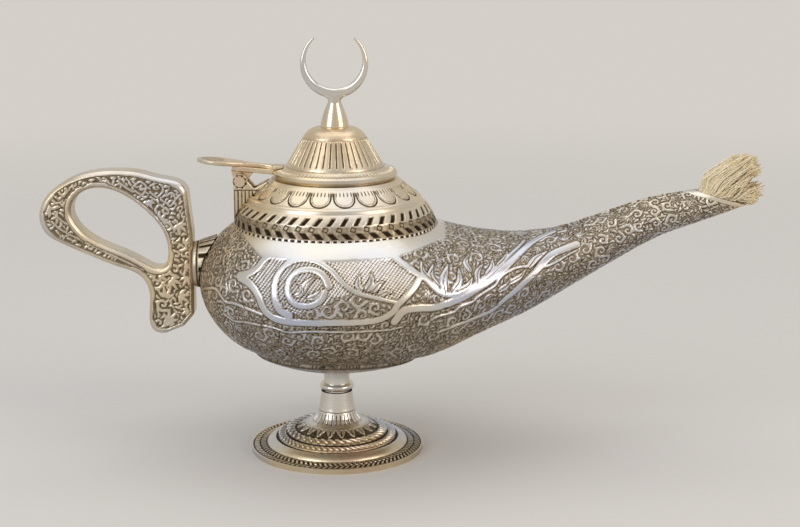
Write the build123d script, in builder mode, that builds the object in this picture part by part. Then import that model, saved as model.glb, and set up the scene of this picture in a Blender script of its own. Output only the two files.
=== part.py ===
from build123d import *
import os
from math import atan2, cos, degrees, hypot, radians, sin, sqrt, tan

# Genie oil lamp in cast metal, in millimetres. The origin is the centre of the foot's
# underside, +X runs towards the spout, +Y away from the engraved front, +Z up.

os.makedirs("parts", exist_ok=True)

# Foot
foot_radius = 36.7
foot_edge_height = 2.2
foot_border_radius = 30.0
foot_border_rise = 1.0
foot_step_radius = 26.6
foot_step_rise = 2.2
foot_rope_width = 4.0
foot_rope_rise = 1.9
foot_rope_bulge = 0.55
foot_crown_radius = 13.2
foot_crown_rise = 2.3
foot_wall = 2.2
foot_web = 2.6
foot_rest_width = 3.2

# Stem
stem_base_radius = 12.0
stem_neck_radius = 6.6
stem_flare_radius = 8.9
stem_flare_rise = 2.3
stem_throat_radius = 7.3
stem_throat_rise = 4.8
stem_height = 13.8
neck_ring_radius = 7.3
neck_ring_height = 2.8
neck_groove_radius = 5.9
neck_groove_height = 0.8
neck_waist_radius = 5.5
neck_top_radius = 6.6
neck_height = 11.0

# Bowl: two half ellipses, one below and one above its widest line
bowl_radius = 57.2
bowl_depth = 39.1
bowl_rise = 35.0
bowl_flat_depth = 0.5
wall = 2.2

# Spout
spout_reach = 178.0
mouth_back_share = 0.8298
mouth_tip_share = 0.9674
mouth_back_rise_share = 1.08
mouth_tip_rise_share = 0.8886
mouth_thinning_share = 0.35

# Shoulder band and petalled collar
shoulder_drop = 12.0
band_radius = 42.8
band_top_radius = 36.5
band_height = 10.2
band_bulge = 0.9
band_wall = 3.4
collar_height = 9.2
collar_lip_radius = 34.3
collar_lip_height = 2.4
collar_lip_bulge = 0.5
collar_rim_radius = 27.3
collar_rim_drop = 1.0
collar_wall = 2.4
filler_radius = 22.6

# Lid
lid_seat_gap = 0.1
lid_seat_radius = 24.6
flange_radius = 25.8
flange_underside_rise = 1.5
flange_thickness = 2.0
cone_base_radius = 20.2
cone_base_rise = 1.9
cone_top_radius = 13.3
cone_height = 11.3
lid_top_radius = 6.2
lid_top_rise = 4.5
lid_crown_bulge = 1.2
lid_wall = 1.7
locating_ring_depth = 3.2
locating_ring_wall = 1.6
locating_gap = 0.6

# Finial and crescent
finial_base_radius = 5.9
finial_neck_radius = 2.8
finial_height = 9.9
crescent_radius = 14.0
crescent_gap_radius = 11.6
crescent_gap_rise = 1.8
crescent_thickness = 4.0
crescent_bevel = 0.9
crescent_tip_angle = 34.0
crescent_foot_height = 1.7
stud_radius = 1.5
stud_gap = 0.05
finial_nut_across = 5.5
finial_nut_height = 2.2
stud_end = 1.0

# Lid hinge and thumb lever
pin_stand_off = 2.7
pin_drop = 1.0
pin_radius = 1.25
pin_fit = 0.05
pin_head_radius = 2.1
pin_head_height = 1.0
knuckle_radius = 2.8
knuckle_width = 4.6
knuckle_side_gap = 0.35
ear_radius = 3.1
ear_width = 2.4
ear_web_clearance = 2.6
bracket_back_offset = 2.7
bracket_rim_reach = 11.5
lever_tilt = 5.5
lever_thickness = 1.6
lever_length = 32.5
lever_neck_width = 7.0
lever_pad_width = 13.0
lever_pad_start = 18.2
lever_pad_widest = 7.2
leaf_thickness = 2.0
leaf_width = 7.6
leaf_tail = 4.2

# Handle
handle_stand_off = 2.2
handle_length = 63.4
handle_height = 69.2
handle_tail_height = 51.6
handle_thickness = 12.0
handle_bevel = 1.4
saddle_half_width = 10.5
saddle_half_height = 11.0
saddle_height = 80.5
saddle_depth = 9.6
saddle_flare = 1.6

# Screw that clamps the foot, the stem and the bowl together
screw_radius = 2.5
screw_gap = 0.1
screw_head_radius = 4.4
screw_head_height = 2.6
screw_engagement = 7.0
screw_slot_width = 1.0
washer_radius = 7.0
washer_thickness = 1.0
boss_radius = 7.5
boss_height = 7.0

# Wick
wick_radius = 3.8
bend_reach_share = 0.45

# One cutting overrun serves every cut
overrun = 1.0

# Heights of the stacked pieces
step_height = foot_edge_height + foot_border_rise + foot_step_rise
foot_height = step_height + 2 * foot_rope_rise + foot_crown_rise
stem_top = foot_height + stem_height
bowl_base = stem_top + neck_height
waist_height = bowl_base - bowl_flat_depth + bowl_depth
seat_height = waist_height + bowl_rise - shoulder_drop
band_top = seat_height + band_height
collar_top = band_top + collar_height
lid_seat = collar_top + lid_seat_gap
flange_bottom = lid_seat + flange_underside_rise
flange_top = flange_bottom + flange_thickness
cone_base = flange_top + cone_base_rise
cone_top = cone_base + cone_height
lid_top = cone_top + lid_top_rise
finial_top = lid_top + finial_height
crescent_bottom = finial_top + crescent_foot_height
crescent_centre = crescent_bottom + crescent_radius

# Radii of the foot's rings, from the step inwards
rope_outer = foot_step_radius - foot_border_rise
rope_middle = rope_outer - foot_rope_width
rope_inner = rope_middle - foot_rope_width
recess_radius = foot_radius - foot_rest_width
web_bottom = foot_height - foot_web

# Body stations from the axis to beyond the spout's mouth: distance along the spout as a
# share of its reach, then half width as a share of the bowl's radius, and the heights of
# the widest line, the top and the bottom above or below the bowl's widest line as shares
# of the bowl's rise, rise and depth.
station_shares = [
    (0.0, 1.0, 0.0, 1.0, -1.0),
    (0.11, 0.962, 0.0, 0.931, -0.954),
    (0.24, 0.815, 0.0, 0.669, -0.783),
    (0.35, 0.61, 0.04, 0.563, -0.56),
    (0.45, 0.445, 0.12, 0.549, -0.358),
    (0.55, 0.325, 0.274, 0.64, -0.094),
    (0.65, 0.242, 0.486, 0.829, 0.176),
    (0.75, 0.182, 0.686, 0.989, 0.43),
    (0.86, 0.145, 0.85, 1.08, 0.617),
    (0.93, 0.136, 0.95, 1.125, 0.733),
    (1.0, 0.126, 1.05, 1.17, 0.868),
]

# The bowl's round back, as shares of its radius behind the axis, leads into the stations.
back_shares = (0.6, 0.4, 0.2)


def hull_half(inset):
    """Front half of the bowl and spout, its surface this far inside the outer one."""
    radius = bowl_radius - inset
    depth = bowl_depth - inset
    rise = bowl_rise - inset
    sections = []
    for back in back_shares:
        share = sqrt(1 - back ** 2)
        sections.append((
            -back * radius, waist_height, share * radius, share * rise, share * depth,
        ))
    for along, width, middle, top, bottom in station_shares:
        local_inset = inset * (1 - mouth_thinning_share * along)
        sections.append((
            along * spout_reach,
            waist_height + middle * bowl_rise,
            width * bowl_radius - local_inset,
            (top - middle) * bowl_rise - local_inset,
            middle * bowl_rise - bottom * bowl_depth - local_inset,
        ))
    with BuildPart(mode=Mode.PRIVATE) as hull:
        for x, centre, half_width, up, down in sections:
            with BuildSketch(Plane.YZ.offset(x)):
                with BuildLine():
                    EllipticalCenterArc((0, centre), half_width, up, start_angle=90)
                    EllipticalCenterArc((0, centre), half_width, down, start_angle=180)
                    Line((0, centre - down), (0, centre + up))
                make_face()
        loft()
        split(bisect_by=Plane.YZ, keep=Keep.TOP)
        with BuildSketch(Plane.XZ):
            with BuildLine():
                EllipticalCenterArc((0, waist_height), radius, rise, start_angle=90)
                EllipticalCenterArc((0, waist_height), radius, depth, start_angle=180)
                Line((0, waist_height - depth), (0, waist_height + rise))
            make_face()
        revolve(axis=Axis.Z, revolution_arc=90)
    return hull.part


hull_outer = hull_half(0)
hull_cavity = hull_half(wall)

mouth_back = mouth_back_share * spout_reach
mouth_tip = mouth_tip_share * spout_reach
mouth_back_height = waist_height + mouth_back_rise_share * bowl_rise
mouth_tip_height = waist_height + mouth_tip_rise_share * bowl_rise
mouth_slope = atan2(mouth_tip_height - mouth_back_height, mouth_tip - mouth_back)
mouth_plane = Plane(
    origin=(mouth_back, 0, mouth_back_height),
    x_dir=(cos(mouth_slope), 0, sin(mouth_slope)),
    z_dir=(-sin(mouth_slope), 0, cos(mouth_slope)),
)

with BuildPart() as bowl_near_half:
    add(hull_outer)
    add(hull_cavity, mode=Mode.SUBTRACT)
    split(bisect_by=mouth_plane, keep=Keep.BOTTOM)
    split(bisect_by=Plane.XY.offset(bowl_base), keep=Keep.TOP)
    with BuildSketch(Plane.XY.offset(seat_height)):
        Circle(band_radius)
    extrude(amount=bowl_rise, mode=Mode.SUBTRACT)
    with BuildSketch(Plane.XY.offset(bowl_base - overrun)):
        Circle(screw_radius + screw_gap)
    extrude(amount=wall + 2 * overrun, mode=Mode.SUBTRACT)

with BuildPart() as bowl_far_half:
    add(bowl_near_half.part.mirror(Plane.XZ))

# The foot is one casting, hollow below, with a flat ring that it stands on.
with BuildPart() as foot_base:
    with BuildSketch(Plane.XZ):
        with BuildLine():
            Polyline(
                (0, web_bottom), (0, foot_height), (foot_crown_radius, foot_height),
                (rope_inner, foot_height - foot_crown_rise),
            )
            SagittaArc(
                (rope_inner, foot_height - foot_crown_rise),
                (rope_middle, step_height + foot_rope_rise), foot_rope_bulge,
            )
            SagittaArc(
                (rope_middle, step_height + foot_rope_rise),
                (rope_outer, step_height), foot_rope_bulge,
            )
            Line((rope_outer, step_height), (foot_step_radius, step_height))
            SagittaArc(
                (foot_step_radius, step_height),
                (foot_border_radius, foot_edge_height + foot_border_rise), foot_rope_bulge,
            )
            Polyline(
                (foot_border_radius, foot_edge_height + foot_border_rise),
                (foot_radius, foot_edge_height), (foot_radius, 0), (recess_radius, 0),
                (foot_border_radius, foot_edge_height + foot_border_rise - foot_wall),
                (foot_step_radius, step_height - foot_wall),
                (rope_inner, foot_height - foot_crown_rise - foot_wall),
                (foot_crown_radius, web_bottom), (0, web_bottom),
            )
        make_face()
    revolve(axis=Axis.Z)
    with Locations((0, 0, foot_height)):
        Hole(screw_radius + screw_gap, depth=foot_web + overrun)

with BuildPart() as foot_stem:
    with BuildSketch(Plane.XZ):
        with BuildLine():
            Bezier(
                (stem_base_radius, foot_height),
                (stem_flare_radius, foot_height + stem_flare_rise),
                (stem_throat_radius, foot_height + stem_throat_rise),
                (stem_neck_radius, stem_top),
            )
            Polyline(
                (stem_neck_radius, stem_top), (screw_radius + screw_gap, stem_top),
                (screw_radius + screw_gap, foot_height), (stem_base_radius, foot_height),
            )
        make_face()
    revolve(axis=Axis.Z)

# Turned neck: a groove, a rounded ring, a waist and a flare under the bowl.
ring_bottom = stem_top + neck_groove_height
ring_top = ring_bottom + neck_ring_height
ring_shoulder = neck_ring_radius - neck_groove_height
with BuildPart() as stem_collar:
    with BuildSketch(Plane.XZ):
        with BuildLine():
            Polyline(
                (neck_groove_radius, ring_bottom), (neck_groove_radius, stem_top),
                (screw_radius + screw_gap, stem_top), (screw_radius + screw_gap, bowl_base),
                (neck_top_radius, bowl_base),
            )
            SagittaArc(
                (neck_top_radius, bowl_base), (neck_waist_radius, ring_top),
                -neck_groove_height / 2,
            )
            Line((neck_waist_radius, ring_top), (ring_shoulder, ring_top))
            SagittaArc((ring_shoulder, ring_top), (ring_shoulder, ring_bottom), neck_groove_height)
            Line((ring_shoulder, ring_bottom), (neck_groove_radius, ring_bottom))
        make_face()
    revolve(axis=Axis.Z)

screw_tip = bowl_base + screw_engagement
with BuildPart() as foot_screw:
    with BuildSketch(Plane.XY.offset(web_bottom - washer_thickness)):
        Circle(screw_radius)
    extrude(amount=screw_tip - web_bottom + washer_thickness)
    with BuildSketch(Plane.XY.offset(web_bottom - washer_thickness)):
        Circle(screw_head_radius)
    extrude(amount=-screw_head_height)
    with BuildSketch(Plane.XY.offset(web_bottom - washer_thickness - screw_head_height)):
        Rectangle(2 * screw_head_radius + overrun, screw_slot_width)
    extrude(amount=screw_head_height / 2, mode=Mode.SUBTRACT)

with BuildPart() as foot_washer:
    with BuildSketch(Plane.XY.offset(web_bottom - washer_thickness)):
        Circle(washer_radius)
        Circle(screw_radius + screw_gap, mode=Mode.SUBTRACT)
    extrude(amount=washer_thickness)

# Threaded boss on the bowl's floor, trimmed to the inside of the bowl.
with BuildPart() as bowl_boss:
    with BuildSketch(Plane.XY.offset(bowl_base)):
        Circle(boss_radius)
    extrude(amount=boss_height + wall)
    add(hull_cavity + hull_cavity.mirror(Plane.XZ), mode=Mode.INTERSECT)
    with Locations((0, 0, bowl_base + boss_height + wall)):
        Hole(screw_radius, depth=boss_height + wall + overrun)

with BuildPart() as shoulder_band:
    with BuildSketch(Plane.XZ):
        with BuildLine():
            SagittaArc((band_top_radius, band_top), (band_radius, seat_height), band_bulge)
            Polyline(
                (band_radius, seat_height), (band_radius - band_wall, seat_height),
                (band_top_radius - band_wall, band_top), (band_top_radius, band_top),
            )
        make_face()
    revolve(axis=Axis.Z)

lip_top = band_top + collar_lip_height
rim_edge = collar_top - collar_rim_drop
with BuildPart() as collar_ring:
    with BuildSketch(Plane.XZ):
        with BuildLine():
            Polyline(
                (filler_radius, collar_top), (collar_rim_radius - collar_rim_drop, collar_top),
                (collar_rim_radius, rim_edge), (collar_lip_radius, lip_top),
            )
            SagittaArc((collar_lip_radius, lip_top), (band_top_radius, band_top), collar_lip_bulge)
            Polyline(
                (band_top_radius, band_top), (band_top_radius - band_wall, band_top),
                (collar_rim_radius - collar_wall, rim_edge - collar_wall),
                (filler_radius, rim_edge - collar_wall), (filler_radius, collar_top),
            )
        make_face()
    revolve(axis=Axis.Z)

# Lid: flange, fluted cone and rounded crown, hollow below.
with BuildPart() as lid_shell:
    with BuildSketch(Plane.XZ):
        with BuildLine():
            Line((0, lid_top), (lid_top_radius, lid_top))
            SagittaArc((lid_top_radius, lid_top), (cone_top_radius, cone_top), lid_crown_bulge)
            Line((cone_top_radius, cone_top), (cone_base_radius, cone_base))
            SagittaArc(
                (cone_base_radius, cone_base),
                (flange_radius - lid_wall / 2, flange_top), -lid_wall / 4,
            )
            Polyline(
                (flange_radius - lid_wall / 2, flange_top),
                (flange_radius, flange_top - lid_wall / 2), (flange_radius, flange_bottom),
                (lid_seat_radius, lid_seat),
                (filler_radius - locating_gap - locating_ring_wall, lid_seat),
                (cone_base_radius - lid_wall, cone_base - lid_wall),
                (cone_top_radius - lid_wall, cone_top), (lid_top_radius, lid_top - lid_wall),
                (0, lid_top - lid_wall), (0, lid_top),
            )
        make_face()
    revolve(axis=Axis.Z)
    with Locations((0, 0, lid_top)):
        Hole(stud_radius + stud_gap, depth=lid_wall + overrun)

with BuildPart() as lid_ring:
    with BuildSketch(Plane.XY.offset(lid_seat - locating_ring_depth)):
        Circle(filler_radius - locating_gap)
        Circle(filler_radius - locating_gap - locating_ring_wall, mode=Mode.SUBTRACT)
    extrude(amount=locating_ring_depth)

with BuildPart() as finial_cone:
    with BuildSketch(Plane.XZ):
        with BuildLine():
            Line((stud_radius + stud_gap, lid_top), (finial_base_radius, lid_top))
            Line(
                (finial_base_radius, lid_top),
                (finial_base_radius, lid_top + crescent_bevel / 2),
            )
            SagittaArc(
                (finial_base_radius, lid_top + crescent_bevel / 2),
                (finial_neck_radius, finial_top), finial_neck_radius / 8,
            )
            Polyline(
                (finial_neck_radius, finial_top), (stud_radius + stud_gap, finial_top),
                (stud_radius + stud_gap, lid_top),
            )
        make_face()
    revolve(axis=Axis.Z)

# Crescent: what is left of a disc when a smaller, higher circle is taken out, on a small
# saddle that meets the cone's neck.
bevel_angle = degrees(atan2(crescent_bevel, crescent_thickness / 2))
tip_reach = 2 * crescent_radius
with BuildPart() as crescent:
    with BuildSketch(Plane.XZ):
        with Locations((0, crescent_centre)):
            Circle(crescent_radius)
    extrude(amount=crescent_thickness / 2, both=True, taper=bevel_angle)
    with BuildSketch(Plane.XY.offset(finial_top)):
        Circle(finial_neck_radius)
    with BuildSketch(Plane.XY.offset(crescent_bottom + 2 * crescent_bevel)):
        Ellipse(2 * finial_neck_radius, crescent_thickness / 2)
    loft()
    with BuildSketch(Plane.XZ):
        with Locations((0, crescent_centre + crescent_gap_rise)):
            Circle(crescent_gap_radius)
    extrude(amount=crescent_thickness / 2, both=True, taper=-bevel_angle, mode=Mode.SUBTRACT)
    with BuildSketch(Plane.XZ):
        with BuildLine():
            Polyline(
                (0, crescent_centre),
                (-tip_reach * sin(radians(crescent_tip_angle)),
                 crescent_centre + tip_reach * cos(radians(crescent_tip_angle))),
                (tip_reach * sin(radians(crescent_tip_angle)),
                 crescent_centre + tip_reach * cos(radians(crescent_tip_angle))),
                close=True,
            )
        make_face()
    extrude(amount=crescent_thickness, both=True, mode=Mode.SUBTRACT)
    with BuildSketch(Plane.XY.offset(finial_top - overrun)):
        Circle(stud_radius)
    extrude(amount=crescent_foot_height + overrun, mode=Mode.SUBTRACT)

nut_top = lid_top - lid_wall
stud_bottom = nut_top - finial_nut_height - stud_end
with BuildPart() as finial_stud:
    with BuildSketch(Plane.XY.offset(stud_bottom)):
        Circle(stud_radius)
    extrude(amount=finial_top + crescent_foot_height - stud_bottom)

with BuildPart() as finial_nut:
    with BuildSketch(Plane.XY.offset(nut_top - finial_nut_height)):
        RegularPolygon(radius=finial_nut_across / 2, side_count=6, major_radius=False)
        Circle(stud_radius, mode=Mode.SUBTRACT)
    extrude(amount=finial_nut_height)

# Hinge: two ears on the shoulder carry the pin, and a knuckle below the lever turns
# between them.
pin_offset = band_top_radius + pin_stand_off
pin_x = -pin_offset
pin_height = collar_top - pin_drop
ear_inner = knuckle_width / 2 + knuckle_side_gap
ear_outer = ear_inner + ear_width
web_top = pin_height - knuckle_radius - ear_web_clearance
with BuildPart() as hinge_bracket:
    with BuildSketch(Plane.XZ.offset(-ear_outer)):
        with BuildLine():
            Polyline(
                (pin_x - bracket_back_offset, pin_height), (pin_x + ear_radius, pin_height),
                (pin_x + bracket_rim_reach / 2, pin_height - ear_radius),
                (pin_x + bracket_rim_reach, rim_edge), (pin_x + bracket_rim_reach, seat_height),
                (pin_x - bracket_back_offset, seat_height), close=True,
            )
        make_face()
        with Locations((pin_x, pin_height)):
            Circle(ear_radius)
    extrude(amount=2 * ear_outer)
    with BuildSketch(Plane.XZ.offset(-ear_inner)):
        with Locations((pin_x, (web_top + collar_top) / 2 + ear_radius)):
            Rectangle(
                4 * ear_radius + bracket_rim_reach,
                collar_top - web_top + 2 * ear_radius,
            )
    extrude(amount=2 * ear_inner, mode=Mode.SUBTRACT)
    with BuildSketch(Plane.XZ):
        with BuildLine():
            Line((0, seat_height - wall), (band_radius, seat_height - wall))
            Line((band_radius, seat_height - wall), (band_radius, seat_height))
            SagittaArc((band_radius, seat_height), (band_top_radius, band_top), -band_bulge)
            SagittaArc((band_top_radius, band_top), (collar_lip_radius, lip_top), -collar_lip_bulge)
            Polyline(
                (collar_lip_radius, lip_top), (collar_rim_radius, rim_edge),
                (collar_rim_radius - collar_rim_drop, collar_top),
                (0, collar_top), (0, seat_height - wall),
            )
        make_face()
    revolve(axis=Axis.Z, mode=Mode.SUBTRACT)
    with BuildSketch(Plane.XZ.offset(-ear_outer - overrun)):
        with Locations((pin_x, pin_height)):
            Circle(pin_radius)
    extrude(amount=2 * (ear_outer + overrun), mode=Mode.SUBTRACT)

with BuildPart() as hinge_pin:
    with BuildSketch(Plane.XZ.offset(-ear_outer)):
        with Locations((pin_x, pin_height)):
            Circle(pin_radius)
    extrude(amount=2 * ear_outer)
    for side in (-1, 1):
        with BuildSketch(Plane.XZ.offset(side * ear_outer)):
            with Locations((pin_x, pin_height)):
                Circle(pin_head_radius)
        extrude(amount=side * pin_head_height)

# The lever and the hinge leaf below it lie on one slope, which starts at the flange.
lever_start_x = -(flange_radius - lid_wall / 2)
lever_plane = Plane(
    origin=(lever_start_x, 0, flange_top),
    x_dir=(-cos(radians(lever_tilt)), 0, sin(radians(lever_tilt))),
    z_dir=(sin(radians(lever_tilt)), 0, cos(radians(lever_tilt))),
)
lever_inner = flange_radius - cone_base_radius - lid_wall
pad_start = lever_length - lever_pad_start
pad_widest = lever_length - lever_pad_widest

with BuildPart() as thumb_lever:
    with BuildSketch(lever_plane):
        with BuildLine():
            Polyline(
                (0, lever_neck_width / 2), (-lever_inner, lever_neck_width / 2),
                (-lever_inner, -lever_neck_width / 2), (0, -lever_neck_width / 2),
            )
            Spline(
                (0, -lever_neck_width / 2),
                (pad_start, -lever_neck_width / 2),
                (pad_widest, -lever_pad_width / 2),
                (lever_length, 0),
                (pad_widest, lever_pad_width / 2),
                (pad_start, lever_neck_width / 2),
                (0, lever_neck_width / 2),
            )
        make_face()
    extrude(amount=lever_thickness)
    add(lid_shell.part, mode=Mode.SUBTRACT)

leaf_end = pin_offset + leaf_tail - flange_radius
with BuildPart() as hinge_leaf:
    with BuildSketch(lever_plane):
        with Locations((leaf_end / 2, 0)):
            Rectangle(leaf_end, leaf_width)
    extrude(amount=-leaf_thickness)
    with BuildSketch(Plane.XZ.offset(-knuckle_width / 2)):
        with Locations((pin_x, pin_height)):
            Circle(knuckle_radius)
        with BuildLine():
            Polyline(
                (pin_x - knuckle_radius, pin_height),
                (pin_x - knuckle_radius - leaf_thickness / 2, flange_top),
                (pin_x + 2 * knuckle_radius, flange_top - leaf_thickness / 2),
                (pin_x + knuckle_radius, pin_height), close=True,
            )
        make_face()
    extrude(amount=knuckle_width)
    with BuildSketch(Plane.XZ.offset(-knuckle_width)):
        with Locations((pin_x, pin_height)):
            Circle(pin_radius + pin_fit)
    extrude(amount=2 * knuckle_width, mode=Mode.SUBTRACT)
    add(lid_shell.part, mode=Mode.SUBTRACT)

# Handle: a flat casting. Shares run outwards from the bowl's side along the handle's length and
# upwards from the tail's lowest point along its height.
handle_inner_x = -(bowl_radius + handle_stand_off)
outline_shares = [
    (0.0, 0.12), (0.0, 0.62), (0.03, 0.875), (0.06, 0.915), (0.2, 0.955), (0.34, 0.988),
    (0.5, 1.0), (0.67, 0.985), (0.84, 0.925), (0.96, 0.83), (1.0, 0.72), (0.965, 0.62),
    (0.88, 0.565), (0.69, 0.485), (0.5, 0.415), (0.335, 0.34), (0.298, 0.27), (0.298, 0.14),
    (0.285, 0.03), (0.19, 0.0), (0.07, 0.045),
]
opening_shares = [
    (0.172, 0.44), (0.163, 0.53), (0.195, 0.635), (0.29, 0.745), (0.42, 0.84), (0.56, 0.892),
    (0.68, 0.885), (0.765, 0.825), (0.79, 0.75), (0.745, 0.655), (0.64, 0.575), (0.47, 0.505),
    (0.32, 0.435), (0.225, 0.405),
]


def handle_points(shares):
    """Points of the handle's plane from shares of its length and height."""
    return [
        (handle_inner_x - out * handle_length, handle_tail_height + up * handle_height)
        for out, up in shares
    ]


with BuildPart() as handle:
    with BuildSketch(Plane.XZ.offset(-handle_thickness / 2)):
        with BuildLine():
            Spline(*handle_points(outline_shares[2:-1]))
            Polyline(*handle_points([outline_shares[-2], outline_shares[-1], *outline_shares[:3]]))
        make_face()
        with BuildLine():
            Spline(*handle_points(opening_shares), periodic=True)
        make_face(mode=Mode.SUBTRACT)
    extrude(amount=handle_thickness)
    chamfer(faces().filter_by(Axis.Y).edges(), length=handle_bevel)

# Socket pad between the handle's edge and the bowl, where the two are brazed.
with BuildPart() as handle_saddle:
    with BuildSketch(Plane.YZ.offset(handle_inner_x)):
        with Locations((0, saddle_height)):
            Ellipse(saddle_half_width - saddle_flare, saddle_half_height - saddle_flare)
    with BuildSketch(Plane.YZ.offset(handle_inner_x + saddle_depth)):
        with Locations((0, saddle_height)):
            Ellipse(saddle_half_width + saddle_flare, saddle_half_height + saddle_flare)
    loft()
    add(hull_outer, mode=Mode.SUBTRACT)
    add(hull_outer.mirror(Plane.XZ), mode=Mode.SUBTRACT)

# Wick: the route's points are its root in the mouth, the bend inside the spout, the bend
# above the bowl's floor and the end that lies on it, as shares of the spout's reach and, above
# or below the bowl's widest line, of the bowl's rise.
route_shares = [(0.8315, 0.8457), (0.517, 0.191), (0.2865, -0.551), (0.1124, -0.854)]
wick_route = [
    (along * spout_reach, waist_height + up * bowl_rise) for along, up in route_shares
]
wick_root, wick_root_height = wick_route[0]
wick_runs = [
    hypot(b[0] - a[0], b[1] - a[1]) for a, b in zip(wick_route, wick_route[1:])
]
wick_turns = [
    abs(atan2(b[1] - c[1], b[0] - c[0]) - atan2(a[1] - b[1], a[0] - b[0]))
    for a, b, c in zip(wick_route, wick_route[1:], wick_route[2:])
]
wick_bend_radii = [
    bend_reach_share * min(before, after) / tan(turn / 2)
    for before, after, turn in zip(wick_runs, wick_runs[1:], wick_turns)
]
print("wick bend radii:", [round(radius, 1) for radius in wick_bend_radii])
wick_angle = atan2(wick_route[0][1] - wick_route[1][1], wick_route[0][0] - wick_route[1][0])

with BuildPart() as wick_cord:
    with BuildLine(Plane.XZ):
        FilletPolyline(*wick_route, radius=wick_bend_radii)
    with BuildSketch(Plane(
        origin=(wick_root, 0, wick_root_height),
        z_dir=(-cos(wick_angle), 0, -sin(wick_angle)),
    )):
        Circle(wick_radius)
    sweep()

# Frayed end of the wick: how far each section stands beyond the cord's end and above it,
# its half height and half width, all as shares of the cord's radius, and its tilt as a
# share of the cord's own.
tuft_shares = [
    (0.0, 0.0, 1.0, 1.0, 1.0), (1.3, 0.53, 0.95, 0.95, 1.0), (2.75, 1.3, 1.1, 0.9, 1.2),
    (4.0, 2.7, 1.7, 1.15, 1.3), (5.9, 3.5, 2.35, 1.85, 1.0), (7.5, 3.8, 2.25, 1.75, 0.65),
]
with BuildPart() as wick_tuft:
    for out, up, tall, wide, tilt in tuft_shares:
        with BuildSketch(Plane(
            origin=(wick_root + out * wick_radius, 0, wick_root_height + up * wick_radius),
            x_dir=(0, 1, 0),
            z_dir=(cos(tilt * wick_angle), 0, sin(tilt * wick_angle)),
        )):
            Ellipse(wide * wick_radius, tall * wick_radius)
    loft()

for piece, name in [
    (foot_base, "foot_base"), (foot_stem, "foot_stem"), (stem_collar, "stem_collar"),
    (foot_screw, "foot_screw"), (foot_washer, "foot_washer"), (bowl_boss, "bowl_boss"),
    (bowl_near_half, "bowl_near_half"), (bowl_far_half, "bowl_far_half"),
    (shoulder_band, "shoulder_band"), (collar_ring, "collar_ring"),
    (hinge_bracket, "hinge_bracket"), (hinge_pin, "hinge_pin"), (handle, "handle"),
    (handle_saddle, "handle_saddle"), (lid_shell, "lid_shell"), (lid_ring, "lid_ring"),
    (finial_cone, "finial_cone"), (crescent, "crescent"), (finial_stud, "finial_stud"),
    (finial_nut, "finial_nut"), (thumb_lever, "thumb_lever"), (hinge_leaf, "hinge_leaf"),
    (wick_cord, "wick_cord"), (wick_tuft, "wick_tuft"),
]:
    piece.part.label = name
    export_step(piece.part, "parts/" + name + ".step")
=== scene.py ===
import math
import bmesh
import bpy
import numpy as np
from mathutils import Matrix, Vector
from mathutils.bvhtree import BVHTree
from mathutils.kdtree import KDTree


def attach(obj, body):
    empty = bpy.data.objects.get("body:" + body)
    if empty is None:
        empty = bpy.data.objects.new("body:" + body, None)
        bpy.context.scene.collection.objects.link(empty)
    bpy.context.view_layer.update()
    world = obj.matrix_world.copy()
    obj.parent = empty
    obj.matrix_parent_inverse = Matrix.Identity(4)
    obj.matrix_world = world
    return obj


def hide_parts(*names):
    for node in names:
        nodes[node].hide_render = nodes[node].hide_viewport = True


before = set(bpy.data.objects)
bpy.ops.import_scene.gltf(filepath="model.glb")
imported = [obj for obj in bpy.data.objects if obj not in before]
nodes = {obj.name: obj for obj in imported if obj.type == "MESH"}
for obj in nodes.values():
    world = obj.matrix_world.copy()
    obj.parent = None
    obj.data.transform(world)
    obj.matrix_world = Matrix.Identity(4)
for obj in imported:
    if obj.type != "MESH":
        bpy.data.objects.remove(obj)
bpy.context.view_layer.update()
rng = np.random.default_rng(11)
MM = 0.001
FAR = 9.0  # millimetres: out of reach of every stroke


def in_scene(name, data):
    """A new object, linked to the scene."""
    made = bpy.data.objects.new(name, data)
    bpy.context.scene.collection.objects.link(made)
    return made


# ------------------------------------------------------------------ camera
PHOTO_W, PHOTO_H, FOCAL_PX, SENSOR_MM = 800.0, 527.0, 1706.0, 36.0
CAMERA_AT = np.array([27.0, -700.0, 237.0])
PITCH = math.radians(12.6)
LOOK = np.array([0.0, math.cos(PITCH), -math.sin(PITCH)])
LIFT = np.array([0.0, math.sin(PITCH), math.cos(PITCH)])

camera_data = bpy.data.cameras.new("camera")
camera_data.sensor_width = SENSOR_MM
camera_data.lens = FOCAL_PX / PHOTO_W * SENSOR_MM
camera_data.clip_end = 20.0
camera = in_scene("camera", camera_data)
camera.location = CAMERA_AT * MM
camera.rotation_euler = (math.pi / 2 - PITCH, 0.0, 0.0)
bpy.context.scene.camera = camera
bpy.context.scene.view_settings.view_transform = "Standard"


def seen_at(points):
    """Where points of the lamp, in millimetres, fall in the photograph's frame."""
    d = points - CAMERA_AT
    depth = d @ LOOK
    return PHOTO_W / 2 + FOCAL_PX * d[..., 0] / depth, PHOTO_H / 2 - FOCAL_PX * (d @ LIFT) / depth


def sight_line(u, v):
    """Unit direction from the camera through one place of the frame."""
    d = LOOK + np.array([1.0, 0.0, 0.0]) * (u - PHOTO_W / 2) / FOCAL_PX + LIFT * (PHOTO_H / 2 - v) / FOCAL_PX
    return d / np.linalg.norm(d)


# --------------------------------------------------------------- materials
def linear(hex_colour):
    """Linear RGBA of an sRGB hex value."""
    parts = [int(hex_colour[i:i + 2], 16) / 255 for i in (1, 3, 5)]
    return tuple(c / 12.92 if c <= 0.04045 else ((c + 0.055) / 1.055) ** 2.4 for c in parts) + (1.0,)


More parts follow.
